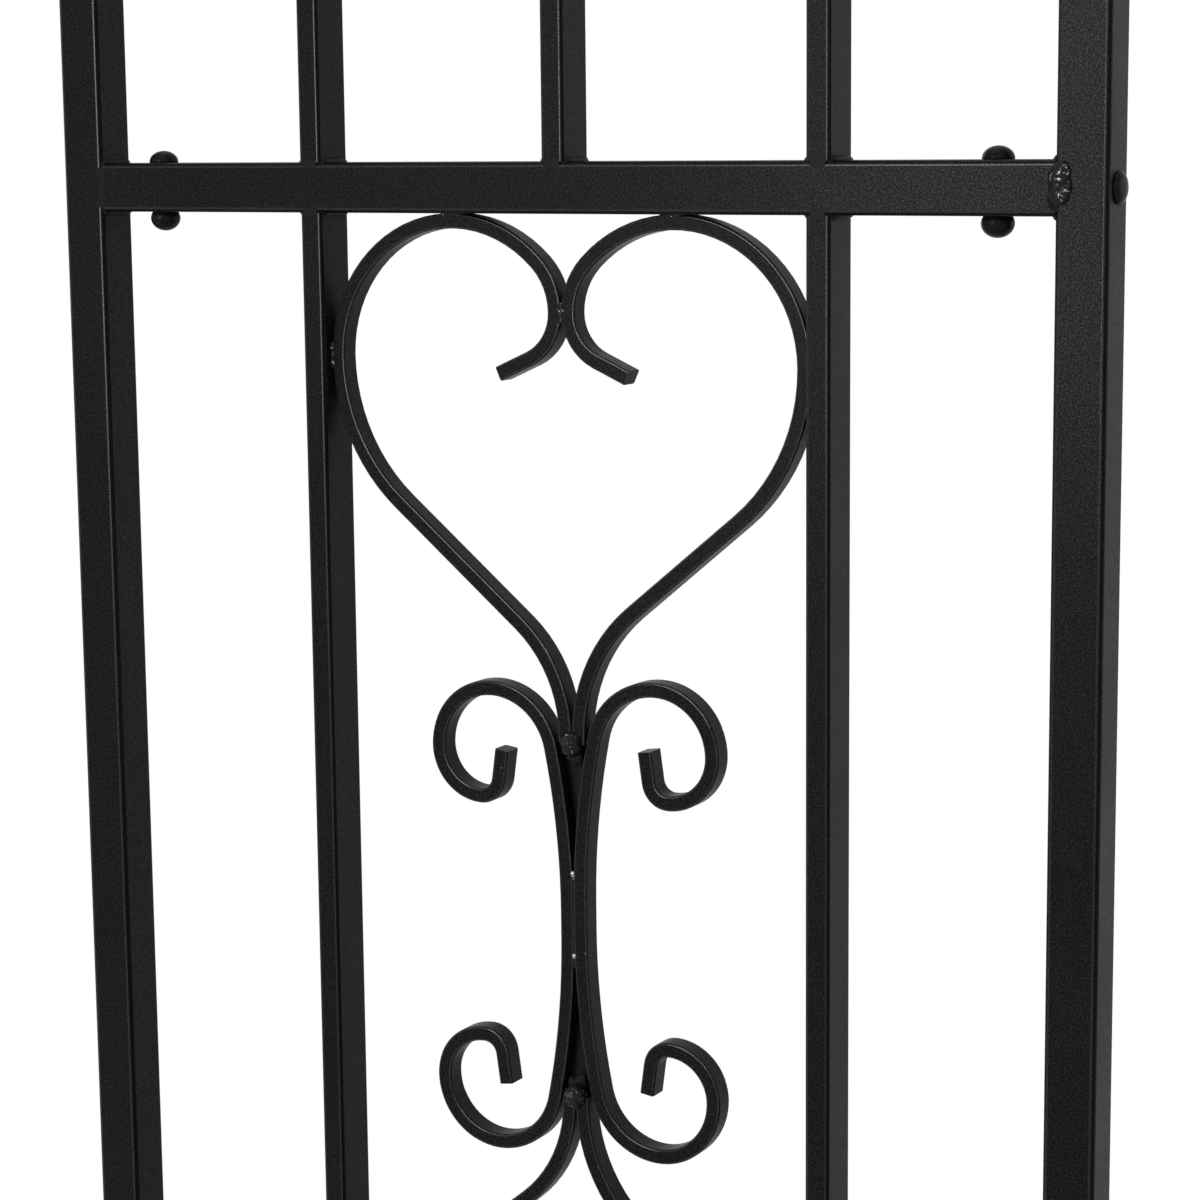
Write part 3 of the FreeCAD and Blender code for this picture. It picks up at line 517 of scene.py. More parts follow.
def bead_shape(length, radius, lumps, variant):
    """The mesh of a bead along its own X, with ripples and lumps; each kind is made once."""
    key = (round(length / MM, 1), radius, lumps, variant)
    if key in bead_shapes:
        return bead_shapes[key]
    bead = bmesh.new()
    rings = max(FEWEST_RINGS, round(length / RING_PITCH))
    bmesh.ops.create_uvsphere(bead, u_segments=BEAD_SIDES, v_segments=rings, radius=1)
    half = length / 2
    for vert in bead.verts:
        latitude = math.asin(max(-1.0, min(1.0, vert.co.z)))
        along = latitude / (math.pi / 2) * half
        past = max(0.0, abs(along) - (half - radius)) / radius
        thick = radius * math.sqrt(max(0.0, 1 - past * past))
        around = Vector((vert.co.x, vert.co.y)).normalized()
        ripple = RIPPLE_HEIGHT * math.sin(2 * math.pi * along / RIPPLE_PITCH + around.x)
        spot = Vector((along, around.x * radius, around.y * radius)) / LUMP_SIZE
        lump = lumps * noise.noise(spot + Vector((VARIANT_STEP * variant, length / MM, 0)))
        thick *= 1 + ripple + lump
        vert.co = (along, around.x * thick, around.y * thick)
    bmesh.ops.recalc_face_normals(bead, faces=bead.faces)
    for face in bead.faces:
        face.smooth = True
    bead_shapes[key] = bpy.data.meshes.new("bead")
    bead.to_mesh(bead_shapes[key])
    bead.free()
    return bead_shapes[key]


print("corners round a bead:", BEAD_SIDES)

# %% [markdown]
# ## Pieces that ride on a body
# A new piece isn't part of the imported model, so it gets a finish and the body that it moves
# with. Most pieces are made of one small mesh that is stamped many times into a growing one.

# %% Stamp a mesh and place a piece
AXES = {"x": Vector((1, 0, 0)), "y": Vector((0, 1, 0)), "z": Vector((0, 0, 1))}


def stamp(whole, mesh, matrix):
    """Add a mesh to a growing bmesh, moved by a matrix."""
    first = len(whole.verts)
    whole.from_mesh(mesh)
    whole.verts.ensure_lookup_table()
    bmesh.ops.transform(whole, verts=whole.verts[first:], matrix=matrix)


def painted_piece(name, shape, paint, body):
    """An object made of a bmesh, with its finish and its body."""
    data = bpy.data.meshes.new(name)
    shape.to_mesh(data)
    shape.free()
    piece = in_scene(name, data)
    data.materials.append(paint)
    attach(piece, body)
    return piece


print("slots of the model:", ", ".join(PAINT_OF_SLOT))

# %% [markdown]
# ## The welds of one body
# A welder's work on one body becomes one piece for each kind of bead. A bead is stamped into it
# at a place and along a direction, and the name of the work is the seed of all that varies, so
# every run lays the same beads. Where a seam lies flush with two faces, the groove beside it is
# filled with weld and ground even with the faces.

# %% Lay, grind and finish
FILLET_RADIUS = 2.6 * MM
FILLET_SUNK = 0.8 * MM
SEAM_SHORTER = 1 * MM
CORNER_FREE = 1.8 * MM
GROUND_WIDE = 3.4 * MM
GROUND_THICK = 1.4 * MM
GROUND_ASIDE = 0.5 * MM
GROUND_EDGE = 0.25 * MM
PROUD = 0.05 * MM


class Welds:
    """All the beads that ride on one body."""

    def __init__(self, name, body):
        self.name = name
        self.body = body
        self.beads = {kind: bmesh.new() for kind in WELD_PAINTS}
        self.ground = bmesh.new()
        self.chance = random.Random(name)

    def lay(self, centre, along, length, radius=1.5 * MM, lumps=0.12, kind="seam"):
        """Stamp one bead with its middle at a place."""
        shape = bead_shape(length, radius, lumps, self.chance.randrange(VARIANTS))
        spin = Matrix.Rotation(self.chance.uniform(0, 2 * math.pi), 4, "X")
        turn = along.to_track_quat("X", "Z").to_matrix().to_4x4()
        stamp(self.beads[kind], shape, Matrix.Translation(centre) @ turn @ spin)

    def grind(self, surface, outward, facing, long, half_long):
        """Fill the groove beside a seam with weld that is ground flush with the faces."""
        seam = bmesh.ops.create_cube(self.ground, size=1)["verts"]
        middle = surface + facing * (PROUD - GROUND_THICK / 2) + outward * GROUND_ASIDE
        for vert in seam:
            x, y, z = vert.co
            vert.co = (middle + outward * x * GROUND_WIDE + facing * y * GROUND_THICK
                       + long * 2 * z * half_long)

    def butt(self, end, outward, free, half_free, flush, half_flush, lumps=0.12):
        """Weld the end of a tube: two corner seams, and flush seams on its two other faces."""
        for sign in (-1, 1):
            corner = end + free * (half_free - FILLET_SUNK) * sign + outward * FILLET_SUNK
            self.lay(corner, flush, 2 * half_flush - SEAM_SHORTER, FILLET_RADIUS, lumps)
            self.grind(end + flush * sign * half_flush, outward, flush * sign, free,
                       half_free - CORNER_FREE)

    def finish(self):
        """Turn the beads of each kind and the ground seams into painted pieces."""
        bmesh.ops.bevel(self.ground, geom=self.ground.edges[:], affect="EDGES",
                        offset=GROUND_EDGE, segments=2, profile=0.5, material=-1)
        bmesh.ops.recalc_face_normals(self.ground, faces=self.ground.faces)
        for kind, shape in [*self.beads.items(), ("ground", self.ground)]:
            if shape.verts:
                paint = WELD_PAINTS["seam" if kind == "ground" else kind]
                painted_piece(f"{self.name}_{kind}", shape, paint, self.body)
            else:
                shape.free()


print("kinds of weld:", ", ".join(WELD_PAINTS))

# %% [markdown]
# ## Where tubes butt against tubes
# Every rail and every bar is cut square and welded all round where it meets its neighbour. Two
# of its faces lie flush with the neighbour's, and the neighbour's round corner leaves a groove
# there, which is ground flush. The seams in the two corners are low and smooth, and those of the
# rails are the smoothest.

# %% Seams at the ends of rails and bars
BAR_LUMPS = (0.12, 0.12)
RAIL_LUMPS = (0.08, 0.06)


def weld_ends(welds, name, run, free, flush, rough=BAR_LUMPS):
    """Weld both ends of each straight tube in a node; run, free and flush name its axes."""
    run_axis, free_axis, flush_axis = (AXES[axis] for axis in (run, free, flush))
    for low, high in boxes_of(name):
        middle = (low + high) / 2
        half = (high - low) / 2
        for sign, lumps in zip((-1, 1), rough):
            end = middle + run_axis * half.dot(run_axis) * sign
            welds.butt(end, run_axis * sign, free_axis, half.dot(free_axis), flush_axis,
                       half.dot(flush_axis), lumps)


all_welds = {}
for side in ("left", "right"):
    welds = all_welds[side] = Welds(f"{side}_side_welds", "arch")
    for level in ("top", "eye", "waist", "foot"):
        weld_ends(welds, f"{side}_{level}_rail", "y", "z", "x", rough=RAIL_LUMPS)
    for level in ("upper", "middle", "lower"):
        weld_ends(welds, f"{side}_{level}_bars", "z", "y", "x")
    leaf = all_welds[f"{side}_gate"] = Welds(f"{side}_gate_welds", f"{side}_gate")
    for level in ("top", "middle", "bottom"):
        weld_ends(leaf, f"{side}_gate_{level}_rail", "x", "z", "y")
    weld_ends(leaf, f"{side}_gate_bars", "z", "x", "y")
print("kinds of bead:", len(bead_shapes))

# %% [markdown]
# ## Canopy and feet
# The canopy's curved bars stand on the top rails, cross the rungs and meet at the crown. The
# rungs end on the hoops. A hoop rises straight for a short way and then bends as a quarter
# circle, so the middle of that circle gives the direction of every rung.

# %% The bend of the hoops
HOOP_STRAIGHT = 50 * MM
hoop_low, hoop_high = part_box("right_front_hoop")
post_top, crown_top = hoop_low.z, hoop_high.z
bend_radius = crown_top - post_top - HOOP_STRAIGHT


def bend_at(place):
    """The side, the middle of the bend, and the outward direction and tangent at a place."""
    side = math.copysign(1, place.x)
    middle = Vector((side * (hoop_high.x - bend_radius), 0, crown_top - bend_radius))
    outward = Vector((place.x - middle.x, 0, place.z - middle.z)).normalized()
    return side, middle, outward, outward.cross(AXES["y"])


print("radius of the bend in mm:", round(bend_radius / MM, 1))

# %% [markdown]
# Four beads run round the foot of a curved bar, and two along each place where it crosses a rung.
# The two halves of a bar meet under the crown with one butt seam.

# %% Seams of the curved bars
CORNER_RADIUS = 1.6 * MM
RUNG_WIDE = 20 * MM
RUNG_THICK = 10 * MM


def ring(welds, centre, first, half_first, second, half_second):
    """Four beads round a rectangle that stands on a face."""
    for sign in (-1, 1):
        welds.lay(centre + first * half_first * sign, second, 2 * half_second, CORNER_RADIUS)
        welds.lay(centre + second * half_second * sign, first, 2 * half_first, CORNER_RADIUS)


canopy = all_welds["canopy"] = Welds("canopy_welds", "arch")
for low, high in boxes_of("vine_bars"):
    side = math.copysign(1, low.x + high.x)
    half = (high.y - low.y) / 2
    foot = middle_at(low, high, x=side * (hoop_high.x - half), z=post_top)
    ring(canopy, foot, AXES["x"], half, AXES["y"], half)
    if side > 0:
        crown = Vector((0, foot.y, crown_top - half))
        canopy.butt(crown, AXES["x"], AXES["y"], half, AXES["z"], half)
    for low_rung, high_rung in boxes_of("rungs"):
        rung_side, middle, outward, tangent = bend_at((low_rung + high_rung) / 2)
        if rung_side != side:
            continue
        seat = middle + AXES["y"] * foot.y + outward * (bend_radius - 2 * half)
        for edge in (-1, 1):
            canopy.lay(seat + AXES["y"] * edge * half, tangent, RUNG_WIDE - SEAM_SHORTER,
                       CORNER_RADIUS)

# %% [markdown]
# The rungs are flat bars, so the corner seams at their ends run along their thin edges, and one
# more bead lies across their outer face. The posts stand on their foot plates.

# %% Seams of the rungs and the feet
for low, high in boxes_of("rungs"):
    place = (low + high) / 2
    outward, tangent = bend_at(place)[2:]
    for sign in (-1, 1):
        end = place + AXES["y"] * (high.y - low.y) / 2 * sign
        canopy.butt(end, AXES["y"] * sign, tangent, RUNG_WIDE / 2, outward, RUNG_THICK / 2)
        canopy.lay(end + outward * RUNG_THICK / 2, tangent, RUNG_WIDE - 2 * SEAM_SHORTER,
                   CORNER_RADIUS)

for side in ("left", "right"):
    for end in ("front", "rear"):
        low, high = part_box(f"{side}_{end}_post")
        half = (high.x - low.x) / 2
        ring(all_welds[side], middle_at(low, high, z=low.z), AXES["x"], half, AXES["y"], half)
print("kinds of bead:", len(bead_shapes))

# %% [markdown]
# ## Hinges, stops and latch
# Hinge brackets, hinge eyes, gate stops and the latch are welded on with short seams along the
# edges that touch.

# %% Seams of the fittings
SIDES = (("left", -1), ("right", 1))
SMALL_RADIUS = 1.3 * MM
SMALL_LUMPS = 0.15
INSET = 2.5 * MM
BRACKET_THICK = 4 * MM
EYE_EDGE = 1 * MM


def edge_seam(welds, start, end):
    """One bead from a place to another one."""
    start, end = Vector(start), Vector(end)
    welds.lay((start + end) / 2, (end - start).normalized(), (end - start).length,
              SMALL_RADIUS, SMALL_LUMPS)


def inner(low, high):
    """The X of the side of a box that faces the passage."""
    return min((low.x, high.x), key=abs)


def outer(low, high):
    """The X of the side of a box that faces away from the passage."""
    return max((low.x, high.x), key=abs)


def weld_hinges(side, sign, post_inner, post_front):
    """Weld the brackets of the pins to a post and the eyes to its leaf."""
    for low, high in boxes_of(f"{side}_hinge_pins"):
        for level in (low.z, low.z + BRACKET_THICK):
            edge_seam(all_welds[side], (post_inner + sign * INSET, post_front, level),
                      (outer(low, high), post_front, level))
    leaf = all_welds[f"{side}_gate"]
    stile_edge = outer(*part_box(f"{side}_gate_hinge_stile")) - sign * INSET
    for low, high in boxes_of(f"{side}_hinge_eyes"):
        end = inner(low, high)
        for level in (low.z, high.z):
            edge_seam(leaf, (end, post_front, level), (stile_edge, post_front, level))
        end += sign * EYE_EDGE
        edge_seam(leaf, (end, post_front, low.z), (end, post_front, high.z))


def weld_stops(side, sign, post_inner, post_back):
    """Weld the gate stops of one side to the back of the front post."""
    for low, high in boxes_of("gate_stops"):
        if low.x * sign > 0:
            end = outer(low, high)
            edge_seam(all_welds[side], (end, post_back, low.z), (end, post_back, high.z))
            for level in (low.z, high.z):
                edge_seam(all_welds[side], (post_inner + sign * INSET, post_back, level),
                          (end, post_back, level))


for side, sign in SIDES:
    post_low, post_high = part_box(f"{side}_front_post")
    weld_hinges(side, sign, inner(post_low, post_high), post_low.y)
    weld_stops(side, sign, inner(post_low, post_high), post_high.y)

for name, leaf in (("latch_guide", "right_gate"), ("latch_keeper", "left_gate")):
    low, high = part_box(name)
    for level in (low.z, high.z):
        edge_seam(all_welds[leaf], (low.x + INSET, high.y, level), (high.x - INSET, high.y, level))
print("pieces with welds:", len(all_welds))

# %% [markdown]
# ## Welds in the scrollwork
# The hearts touch the rail above or below and the bars beside them at single points, and their
# lobes touch each other. The places are found on the hearts themselves: among the vertices of one
# corner, of the lobes or of the stems, those that reach farthest in a direction are where the
# bars touch.

# %% Measure one scroll block
TOUCH_DEPTH = 0.15 * MM
CLEAR_OF_MIDDLE = 1 * MM
LOBES_MEET = 0.4 * MM
LOBES_FROM = 0.55
STEMS_BELOW = 0.5
UP = AXES["z"]


def touch_point(points, direction):
    """Where some places reach farthest in a direction: the middle of those that do."""
    reach = max(point.dot(direction) for point in points)
    touching = [point for point in points if point.dot(direction) > reach - TOUCH_DEPTH]
    low, high = box_of(touching)
    return (low + high) / 2


class ScrollBlock:
    """Two hearts and two C-scrolls: across runs along the block, facing out of its show face."""

    def __init__(self, label, across, facing):
        low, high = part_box(f"{label}_curls")
        self.curls = (low + high) / 2
        self.across = across
        self.facing = facing
        self.half_deep = abs((high - low).dot(facing)) / 2
        low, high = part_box(f"{label}_hearts")
        self.centre = (low + high) / 2
        self.half_height = (high.z - low.z) / 2
        self.hearts = [point for solid in solids_of(f"{label}_hearts") for point in solid]

    def aside(self, point, middle):
        """How far a place is from the middle, along the block."""
        return (point - middle).dot(self.across)

    def half_heart(self, rise, way):
        """The places of one heart to one side of the middle."""
        return [point for point in self.hearts if (point.z - self.centre.z) * rise > 0
                and self.aside(point, self.centre) * way > CLEAR_OF_MIDDLE]

    def lobes(self, rise):
        """The places where the lobes of one heart meet."""
        lowest = LOBES_FROM * self.half_height
        return [point for point in self.hearts if (point.z - self.centre.z) * rise > lowest
                and abs(self.aside(point, self.centre)) < LOBES_MEET]

    def stems(self, rise):
        """The places of one heart's stems that are close to the middle of the C-scrolls."""
        highest = STEMS_BELOW * self.half_height
        return [point for point in self.hearts
                if 0 < (point.z - self.centre.z) * rise < highest
                and abs(self.aside(point, self.curls)) < CLEAR_OF_MIDDLE]


blocks = {}
for side, sign in SIDES:
    blocks[side] = ScrollBlock(f"{side}_side", AXES["y"], AXES["x"] * -sign)
    blocks[f"{side}_gate"] = ScrollBlock(f"{side}_gate", AXES["x"], -AXES["y"])
print("scroll blocks:", len(blocks))

# %% [markdown]
# The stems end between the two C-scrolls, where a round blob covers all four bars, with a few
# drops beside it. Each kind of bead is written down once, as its settings. How far it stands out
# of the block is a share of half the block's depth.

# %% Blobs and drops of the scroll blocks
def bead(length, radius, lumps, kind="blob"):
    """The settings of one kind of bead, with its sizes in millimetres."""
    return {"length": length * MM, "radius": radius * MM, "lumps": lumps, "kind": kind}


ON_RAIL = bead(11, 1.7, 0.5)
ON_BAR = bead(12, 1.7, 0.5)
ON_LOBES = bead(9, 1.8, 0.5)
STEM_FRONT = bead(10.5, 4.9, 0.25)
STEM_BACK = bead(9, 3.6, 0.3)
DROP = bead(5, 1.8, 0.3, "seam")
TOUCH_SHARE = 0.8
LOBES_SHARE = 0.75
STEM_SHARE = 0.92
DROP_SHARE = 0.55
DROPS = 4
DROP_FIRST = 4.2
DROP_STEP = 0.9
DROP_ASIDE = 2.6


def weld_heart(welds, block, rise):
    """Weld one heart of a block; rise is 1 for the upper heart and -1 for the lower one."""
    across = block.across
    show = block.facing * block.half_deep
    for way in (-1, 1):
        on_rail = touch_point(block.half_heart(rise, way), UP * rise)
        on_bar = touch_point(block.half_heart(rise, way), across * way)
        for face in (show, -show):
            welds.lay(on_rail + face * TOUCH_SHARE, across, **ON_RAIL)
            welds.lay(on_bar + face * TOUCH_SHARE, UP, **ON_BAR)
    meeting = touch_point(block.lobes(rise), UP) + touch_point(block.lobes(rise), -UP)
    welds.lay(meeting / 2 + show * LOBES_SHARE, UP, **ON_LOBES)
    stem = touch_point(block.stems(rise), -UP * rise)
    stem += across * block.aside(block.curls, stem)
    welds.lay(stem + show * STEM_SHARE, UP, **STEM_FRONT)
    welds.lay(stem - show * TOUCH_SHARE, UP, **STEM_BACK)
    for index in range(DROPS):
        drop = stem + show * DROP_SHARE - UP * rise * (DROP_FIRST + DROP_STEP * index) * MM
        drop += across * welds.chance.uniform(-DROP_ASIDE, DROP_ASIDE) * MM
        welds.lay(drop, UP, **DROP)


for name, block in blocks.items():
    for rise in (-1, 1):
        weld_heart(all_welds[name], block, rise)
print("kinds of bead:", len(bead_shapes))

# %% [markdown]
# ## Slots between the C-scrolls
# The backs of the two C-scrolls come together between two narrow slots. A wedge of flat bar
# closes each slot from behind, so no daylight shows through it. Its sides run inside the scrolls,
# and only its middle can be seen. Between the slots a strip that is almost flush joins the
# backs, and a bright spot of weld sits near each end of it.

# %% Wedges, strips and spots
WEDGE_THICK = 2.5 * MM
WEDGE_EDGE = 0.3 * MM
WEDGE_FROM = 8 * MM
WEDGE_TIP_HALF = 1 * MM
WEDGE_END_HALF = 8 * MM
WEDGE_SUNK = 0.5 * MM
STRIP_HALF_WIDE = 1.7 * MM
STRIP_HALF_LONG = 19 * MM
STRIP_SUNK = 0.08 * MM
SPOT_SUNK = 0.6 * MM
UPPER_SPOT = bead(4, 1.2, 0.6, "spot")
LOWER_SPOT = bead(2.6, 1.1, 0.5, "spot")
LOWER_SPOT_SHARE = 0.75


def wedge(name, body, block, ends):
    """A tapered strip; each of its two ends is a (middle, half width) pair."""
    shape = bmesh.new()
    bmesh.ops.create_cube(shape, size=1)
    for vert in shape.verts:
        middle, half = ends[1] if vert.co.z > 0 else ends[0]
        vert.co = (middle + block.across * (2 * vert.co.x * half)
                   + block.facing * (vert.co.y * WEDGE_THICK))
    bmesh.ops.recalc_face_normals(shape, faces=shape.faces)
    bmesh.ops.bevel(shape, geom=shape.edges[:], affect="EDGES", offset=WEDGE_EDGE, segments=2,
                    profile=0.5, material=-1)
    painted_piece(name, shape, WELD_PAINTS["seam"], body)


def fill_slots(welds, block, label):
    """Two wedges for one block, and a flush strip along the backs between them."""
    inside = block.half_deep - WEDGE_THICK / 2
    behind = block.curls - block.facing * (inside - WEDGE_SUNK)
    before = block.curls + block.facing * (inside - STRIP_SUNK)
    stem = min(abs(point.z - block.curls.z) for point in block.hearts
               if abs(block.aside(point, block.curls)) < CLEAR_OF_MIDDLE)
    for rise, word in ((1, "upper"), (-1, "lower")):
        ends = ((behind + UP * rise * WEDGE_FROM, WEDGE_TIP_HALF),
                (behind + UP * rise * stem, WEDGE_END_HALF))
        wedge(f"{label}_{word}_slot_wedge", welds.body, block, ends)
    strip = UP * STRIP_HALF_LONG
    wedge(f"{label}_seam_strip", welds.body, block,
          ((before - strip, STRIP_HALF_WIDE), (before + strip, STRIP_HALF_WIDE)))
    face = block.curls + block.facing * (block.half_deep - SPOT_SUNK)
    welds.lay(face + strip, UP, **UPPER_SPOT)
    welds.lay(face - strip * LOWER_SPOT_SHARE, UP, **LOWER_SPOT)


for side, sign in SIDES:
    fill_slots(all_welds[side], blocks[side], f"{side}_side")
    fill_slots(all_welds[f"{side}_gate"], blocks[f"{side}_gate"], f"{side}_gate")
print("slots closed:", 2 * len(blocks))

# %% [markdown]
# ## Pads on the eye rail
# The eye rail carries the most, and its joint with the front post has a second run of weld on
# the inner face. It stands out as a wet, lumpy pad with four bright lumps on it, one under the
# other. Beside them lies a low mound in the dull seam paint, which stands in for the shade beside
# the pad: painted shade.

# %% A mound and four lumps on each joint
SHADE_MOUND = bead(16, 3.2, 0.2, "seam")
MOUND_SUNK = 2.3 * MM
MOUND_ALONG = 0.4 * MM
MOUND_BELOW = 0.8 * MM
LUMP = {"radius": 3.5 * MM, "lumps": 0.5, "kind": "pad"}
LUMPS = 4
LUMP_LENGTHS = (7.5, 9.0)
LUMP_SUNK = 0.6 * MM
LUMP_ASIDE = 2.6
LUMP_TOP = 6.0
LUMP_STEP = 2.8

for side, sign in SIDES:
    rail_low, rail_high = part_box(f"{side}_eye_rail")
    joint = middle_at(rail_low, rail_high, x=inner(rail_low, rail_high), y=rail_low.y)
    welds = all_welds[side]
    # The dull mound is painted shade: a dark patch laid where the side of the pad is in shade.
    welds.lay(joint + Vector((sign * MOUND_SUNK, MOUND_ALONG, -MOUND_BELOW)), UP, **SHADE_MOUND)
    for index in range(LUMPS):
        spot = joint + Vector((sign * LUMP_SUNK, (index % 2 - LUMP_ASIDE) * MM,
                               (LUMP_TOP - index * LUMP_STEP) * MM))
        welds.lay(spot, AXES["y"], welds.chance.uniform(*LUMP_LENGTHS) * MM, **LUMP)

# %% [markdown]
# All beads are laid now, and each growing mesh becomes a piece.

# %% Finish all the welds
for name, welds in all_welds.items():
    print(name, "weld faces:", sum(len(beads.faces) for beads in welds.beads.values()))
    welds.finish()

# %% [markdown]
# ## Bolt heads and cap nuts
# Heads and nuts are turned parts, so each is a profile spun about its axis. The bolt heads are
# low domes on a thin rim. The cap nuts have a narrow neck, swell to a waist and close in a dome.

# %% Turned parts
TURNED_STEPS = 48
ARC_POINTS = 9
SMOOTH_LIMIT = math.radians(35)
ON_AXIS = 0.002 * MM
RIM = 0.4 * MM
UNDER_RIM = 0.2 * MM
NECK_SHARE = 0.86
NECK_STEP = 0.15 * MM


def smooth_over(shape):
    """Shade faces smooth, except across edges that turn by more than the limit."""
    bmesh.ops.recalc_face_normals(shape, faces=shape.faces)
    for face in shape.faces:
        face.smooth = True
    for edge in shape.edges:
        edge.smooth = edge.calc_face_angle(0) < SMOOTH_LIMIT


def turned(profile):
    """Spin a profile of (radius, height) points about Z into a closed mesh."""
    shape = bmesh.new()
    verts = [shape.verts.new((radius, 0, height)) for radius, height in profile]
    edges = [shape.edges.new(pair) for pair in zip(verts, verts[1:])]
    bmesh.ops.spin(shape, geom=verts + edges, cent=(0, 0, 0), axis=(0, 0, 1), dvec=(0, 0, 0),
                   angle=2 * math.pi, steps=TURNED_STEPS, use_merge=True)
    bmesh.ops.remove_doubles(shape, verts=shape.verts, dist=ON_AXIS)
    smooth_over(shape)
    return shape


def dome(radius, base, top):
    """The points of a dome, from just above its base to its top."""
    angles = [math.pi / 2 * index / ARC_POINTS for index in range(1, ARC_POINTS + 1)]
    return [(radius * math.cos(angle), base + (top - base) * math.sin(angle)) for angle in angles]


def head_profile(radius, rise, length):
    """A bolt from the tip of its shank to the top of a dome that stands on a thin rim."""
    shank = radius / 2
    return [(0, -length), (shank, -length), (shank, 0), (radius - UNDER_RIM, 0),
            (radius, RIM)] + dome(radius, RIM, rise)


def nut_profile(radius, height):
    """A cap nut from its neck to the top of its dome."""
    waist = height / 3
    neck = radius * NECK_SHARE
    swell = [(neck + (radius - neck) * math.sin(math.pi / 2 * share), waist * share)
             for share in (1 / 3, 2 / 3, 1)]
    return [(0, 0), (neck, 0), (neck + NECK_STEP, RIM)] + swell + dome(radius, waist, height)


print("steps of a turned part:", TURNED_STEPS)

# %% [markdown]
# One piece stands for each node of bolts. The shape is turned once and stamped at every place of
# the node, pointing the way that the bolt points.

# %% Heads and nuts on the eye rails
HEAD_SPIN = 2.4
DOWN = Vector((0, 0, -1))


def stamped(node, shape, places, name):
    """One piece that replaces a node: a shape at each place, its Z along each direction."""
    template = bpy.data.meshes.new("template")
    shape.to_mesh(template)
    shape.free()
    whole = bmesh.new()
    for index, (spot, direction) in enumerate(places):
        turn = direction.to_track_quat("Z", "Y").to_matrix().to_4x4()
        spin = Matrix.Rotation(index * HEAD_SPIN, 4, "Z")
        stamp(whole, template, Matrix.Translation(spot) @ turn @ spin)
    bpy.data.meshes.remove(template)
    piece = painted_piece(name, whole, head_enamel, "arch")
    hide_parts(node)
    print(name, "stamped:", len(places))


rail_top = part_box("right_eye_rail")[1].z
bolt_boxes = boxes_of("rail_bolts")
bolt_low, bolt_high = bolt_boxes[0]
head_radius = (bolt_high.x - bolt_low.x) / 2
bolt = turned(head_profile(head_radius, bolt_high.z - rail_top, rail_top - bolt_low.z))
stamped("rail_bolts", bolt, [(middle_at(*box, z=rail_top), UP) for box in bolt_boxes],
        "rail_bolt_heads")

nut_boxes = boxes_of("cap_nuts")
nut_low, nut_high = nut_boxes[0]
nut = turned(nut_profile(head_radius + NECK_STEP, nut_high.z - nut_low.z))
stamped("cap_nuts", nut, [(middle_at(*box, z=nut_high.z), DOWN) for box in nut_boxes],
        "acorn_nuts")

# %% [markdown]
# The heads on the posts point out of the front face or the rear face. Part of each bolt's length
# in the model is its head.

# %% Heads on the posts
post_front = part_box("right_front_post")[0].y
post_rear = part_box("right_rear_post")[1].y


def post_head(low, high):
    """Where a head stands on a post and its direction, its rise and the length of its shank."""
    way = math.copysign(1, low.y + high.y)
    face, tip = (post_rear, high.y) if way > 0 else (post_front, low.y)
    rise = (tip - face) * way
    return (middle_at(low, high, y=face), AXES["y"] * way), rise, high.y - low.y - rise


for node in ("post_bolts", "sleeve_screws"):
    places, rises, lengths = zip(*[post_head(low, high) for low, high in boxes_of(node)])
    stamped(node, turned(head_profile(head_radius, rises[-1], lengths[-1])), places,
            f"{node}_heads")

# %% [markdown]
# ## Eased edges on plates and fittings
# Plates are cut and filed, and paint rounds what the file leaves. A copy of each fitting gets
# its flat areas merged and its sharp edges bevelled a little.

# %% Eased copies
FLAT_LIMIT = math.radians(1)
SHARP_FROM = math.radians(40)
FITTING_EASE = 0.5 * MM
LATCH_EASE = 0.4 * MM
FITTINGS = {"foot_plates": "arch", "gate_stops": "arch", "left_hinge_pins": "arch",
            "right_hinge_pins": "arch", "left_hinge_eyes": "left_gate",
            "right_hinge_eyes": "right_gate"}
LATCH_PARTS = {"latch_guide": "right_gate", "latch_keeper": "left_gate", "latch_bolt": "latch"}


def eased_copy(name, width, paint, body):
    """A copy of a node with its sharp edges rounded, in the node's place."""
    shape = joined(name)
    bmesh.ops.dissolve_limit(shape, angle_limit=FLAT_LIMIT, verts=shape.verts, edges=shape.edges)
    sharp = [edge for edge in shape.edges if edge.calc_face_angle(0) > SHARP_FROM]
    bmesh.ops.bevel(shape, geom=sharp, affect="EDGES", offset=width, segments=2, profile=0.5,
                    material=-1, clamp_overlap=True)
    smooth_over(shape)
    piece = painted_piece(f"{name}_eased", shape, paint, body)
    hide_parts(name)


for name, body in FITTINGS.items():
    eased_copy(name, FITTING_EASE, fitting_enamel, body)
for name, body in LATCH_PARTS.items():
    eased_copy(name, LATCH_EASE, latch_enamel, body)
print("eased copies:", len(FITTINGS) + len(LATCH_PARTS))

# %% [markdown]
# ## Floor and backdrop
# The photograph is a cut-out on white. A pale floor and a white surround stand in for it, and
# both are plain white only to the camera, in reflections and through glass: as light they stay
# modest, so that black stays black. The floor is a soft pale grey near the feet, which keeps the
# shadow, and white farther out.

# %% A round floor just below the feet
FLOOR_RADIUS = 16
FLOOR_SIDES = 96
FLOOR_BELOW = 0.3 * MM

floor_mesh = bmesh.new()
bmesh.ops.create_circle(floor_mesh, cap_ends=True, segments=FLOOR_SIDES, radius=FLOOR_RADIUS)
bmesh.ops.translate(floor_mesh, verts=floor_mesh.verts, vec=(0, 0, -FLOOR_BELOW))
floor_data = bpy.data.meshes.new("floor")
floor_mesh.to_mesh(floor_data)
floor_mesh.free()
floor = in_scene("floor", floor_data)
print("floor across in metres:", 2 * FLOOR_RADIUS)

# %% [markdown]
# The kind of ray that looks at a surface decides whether it is white.

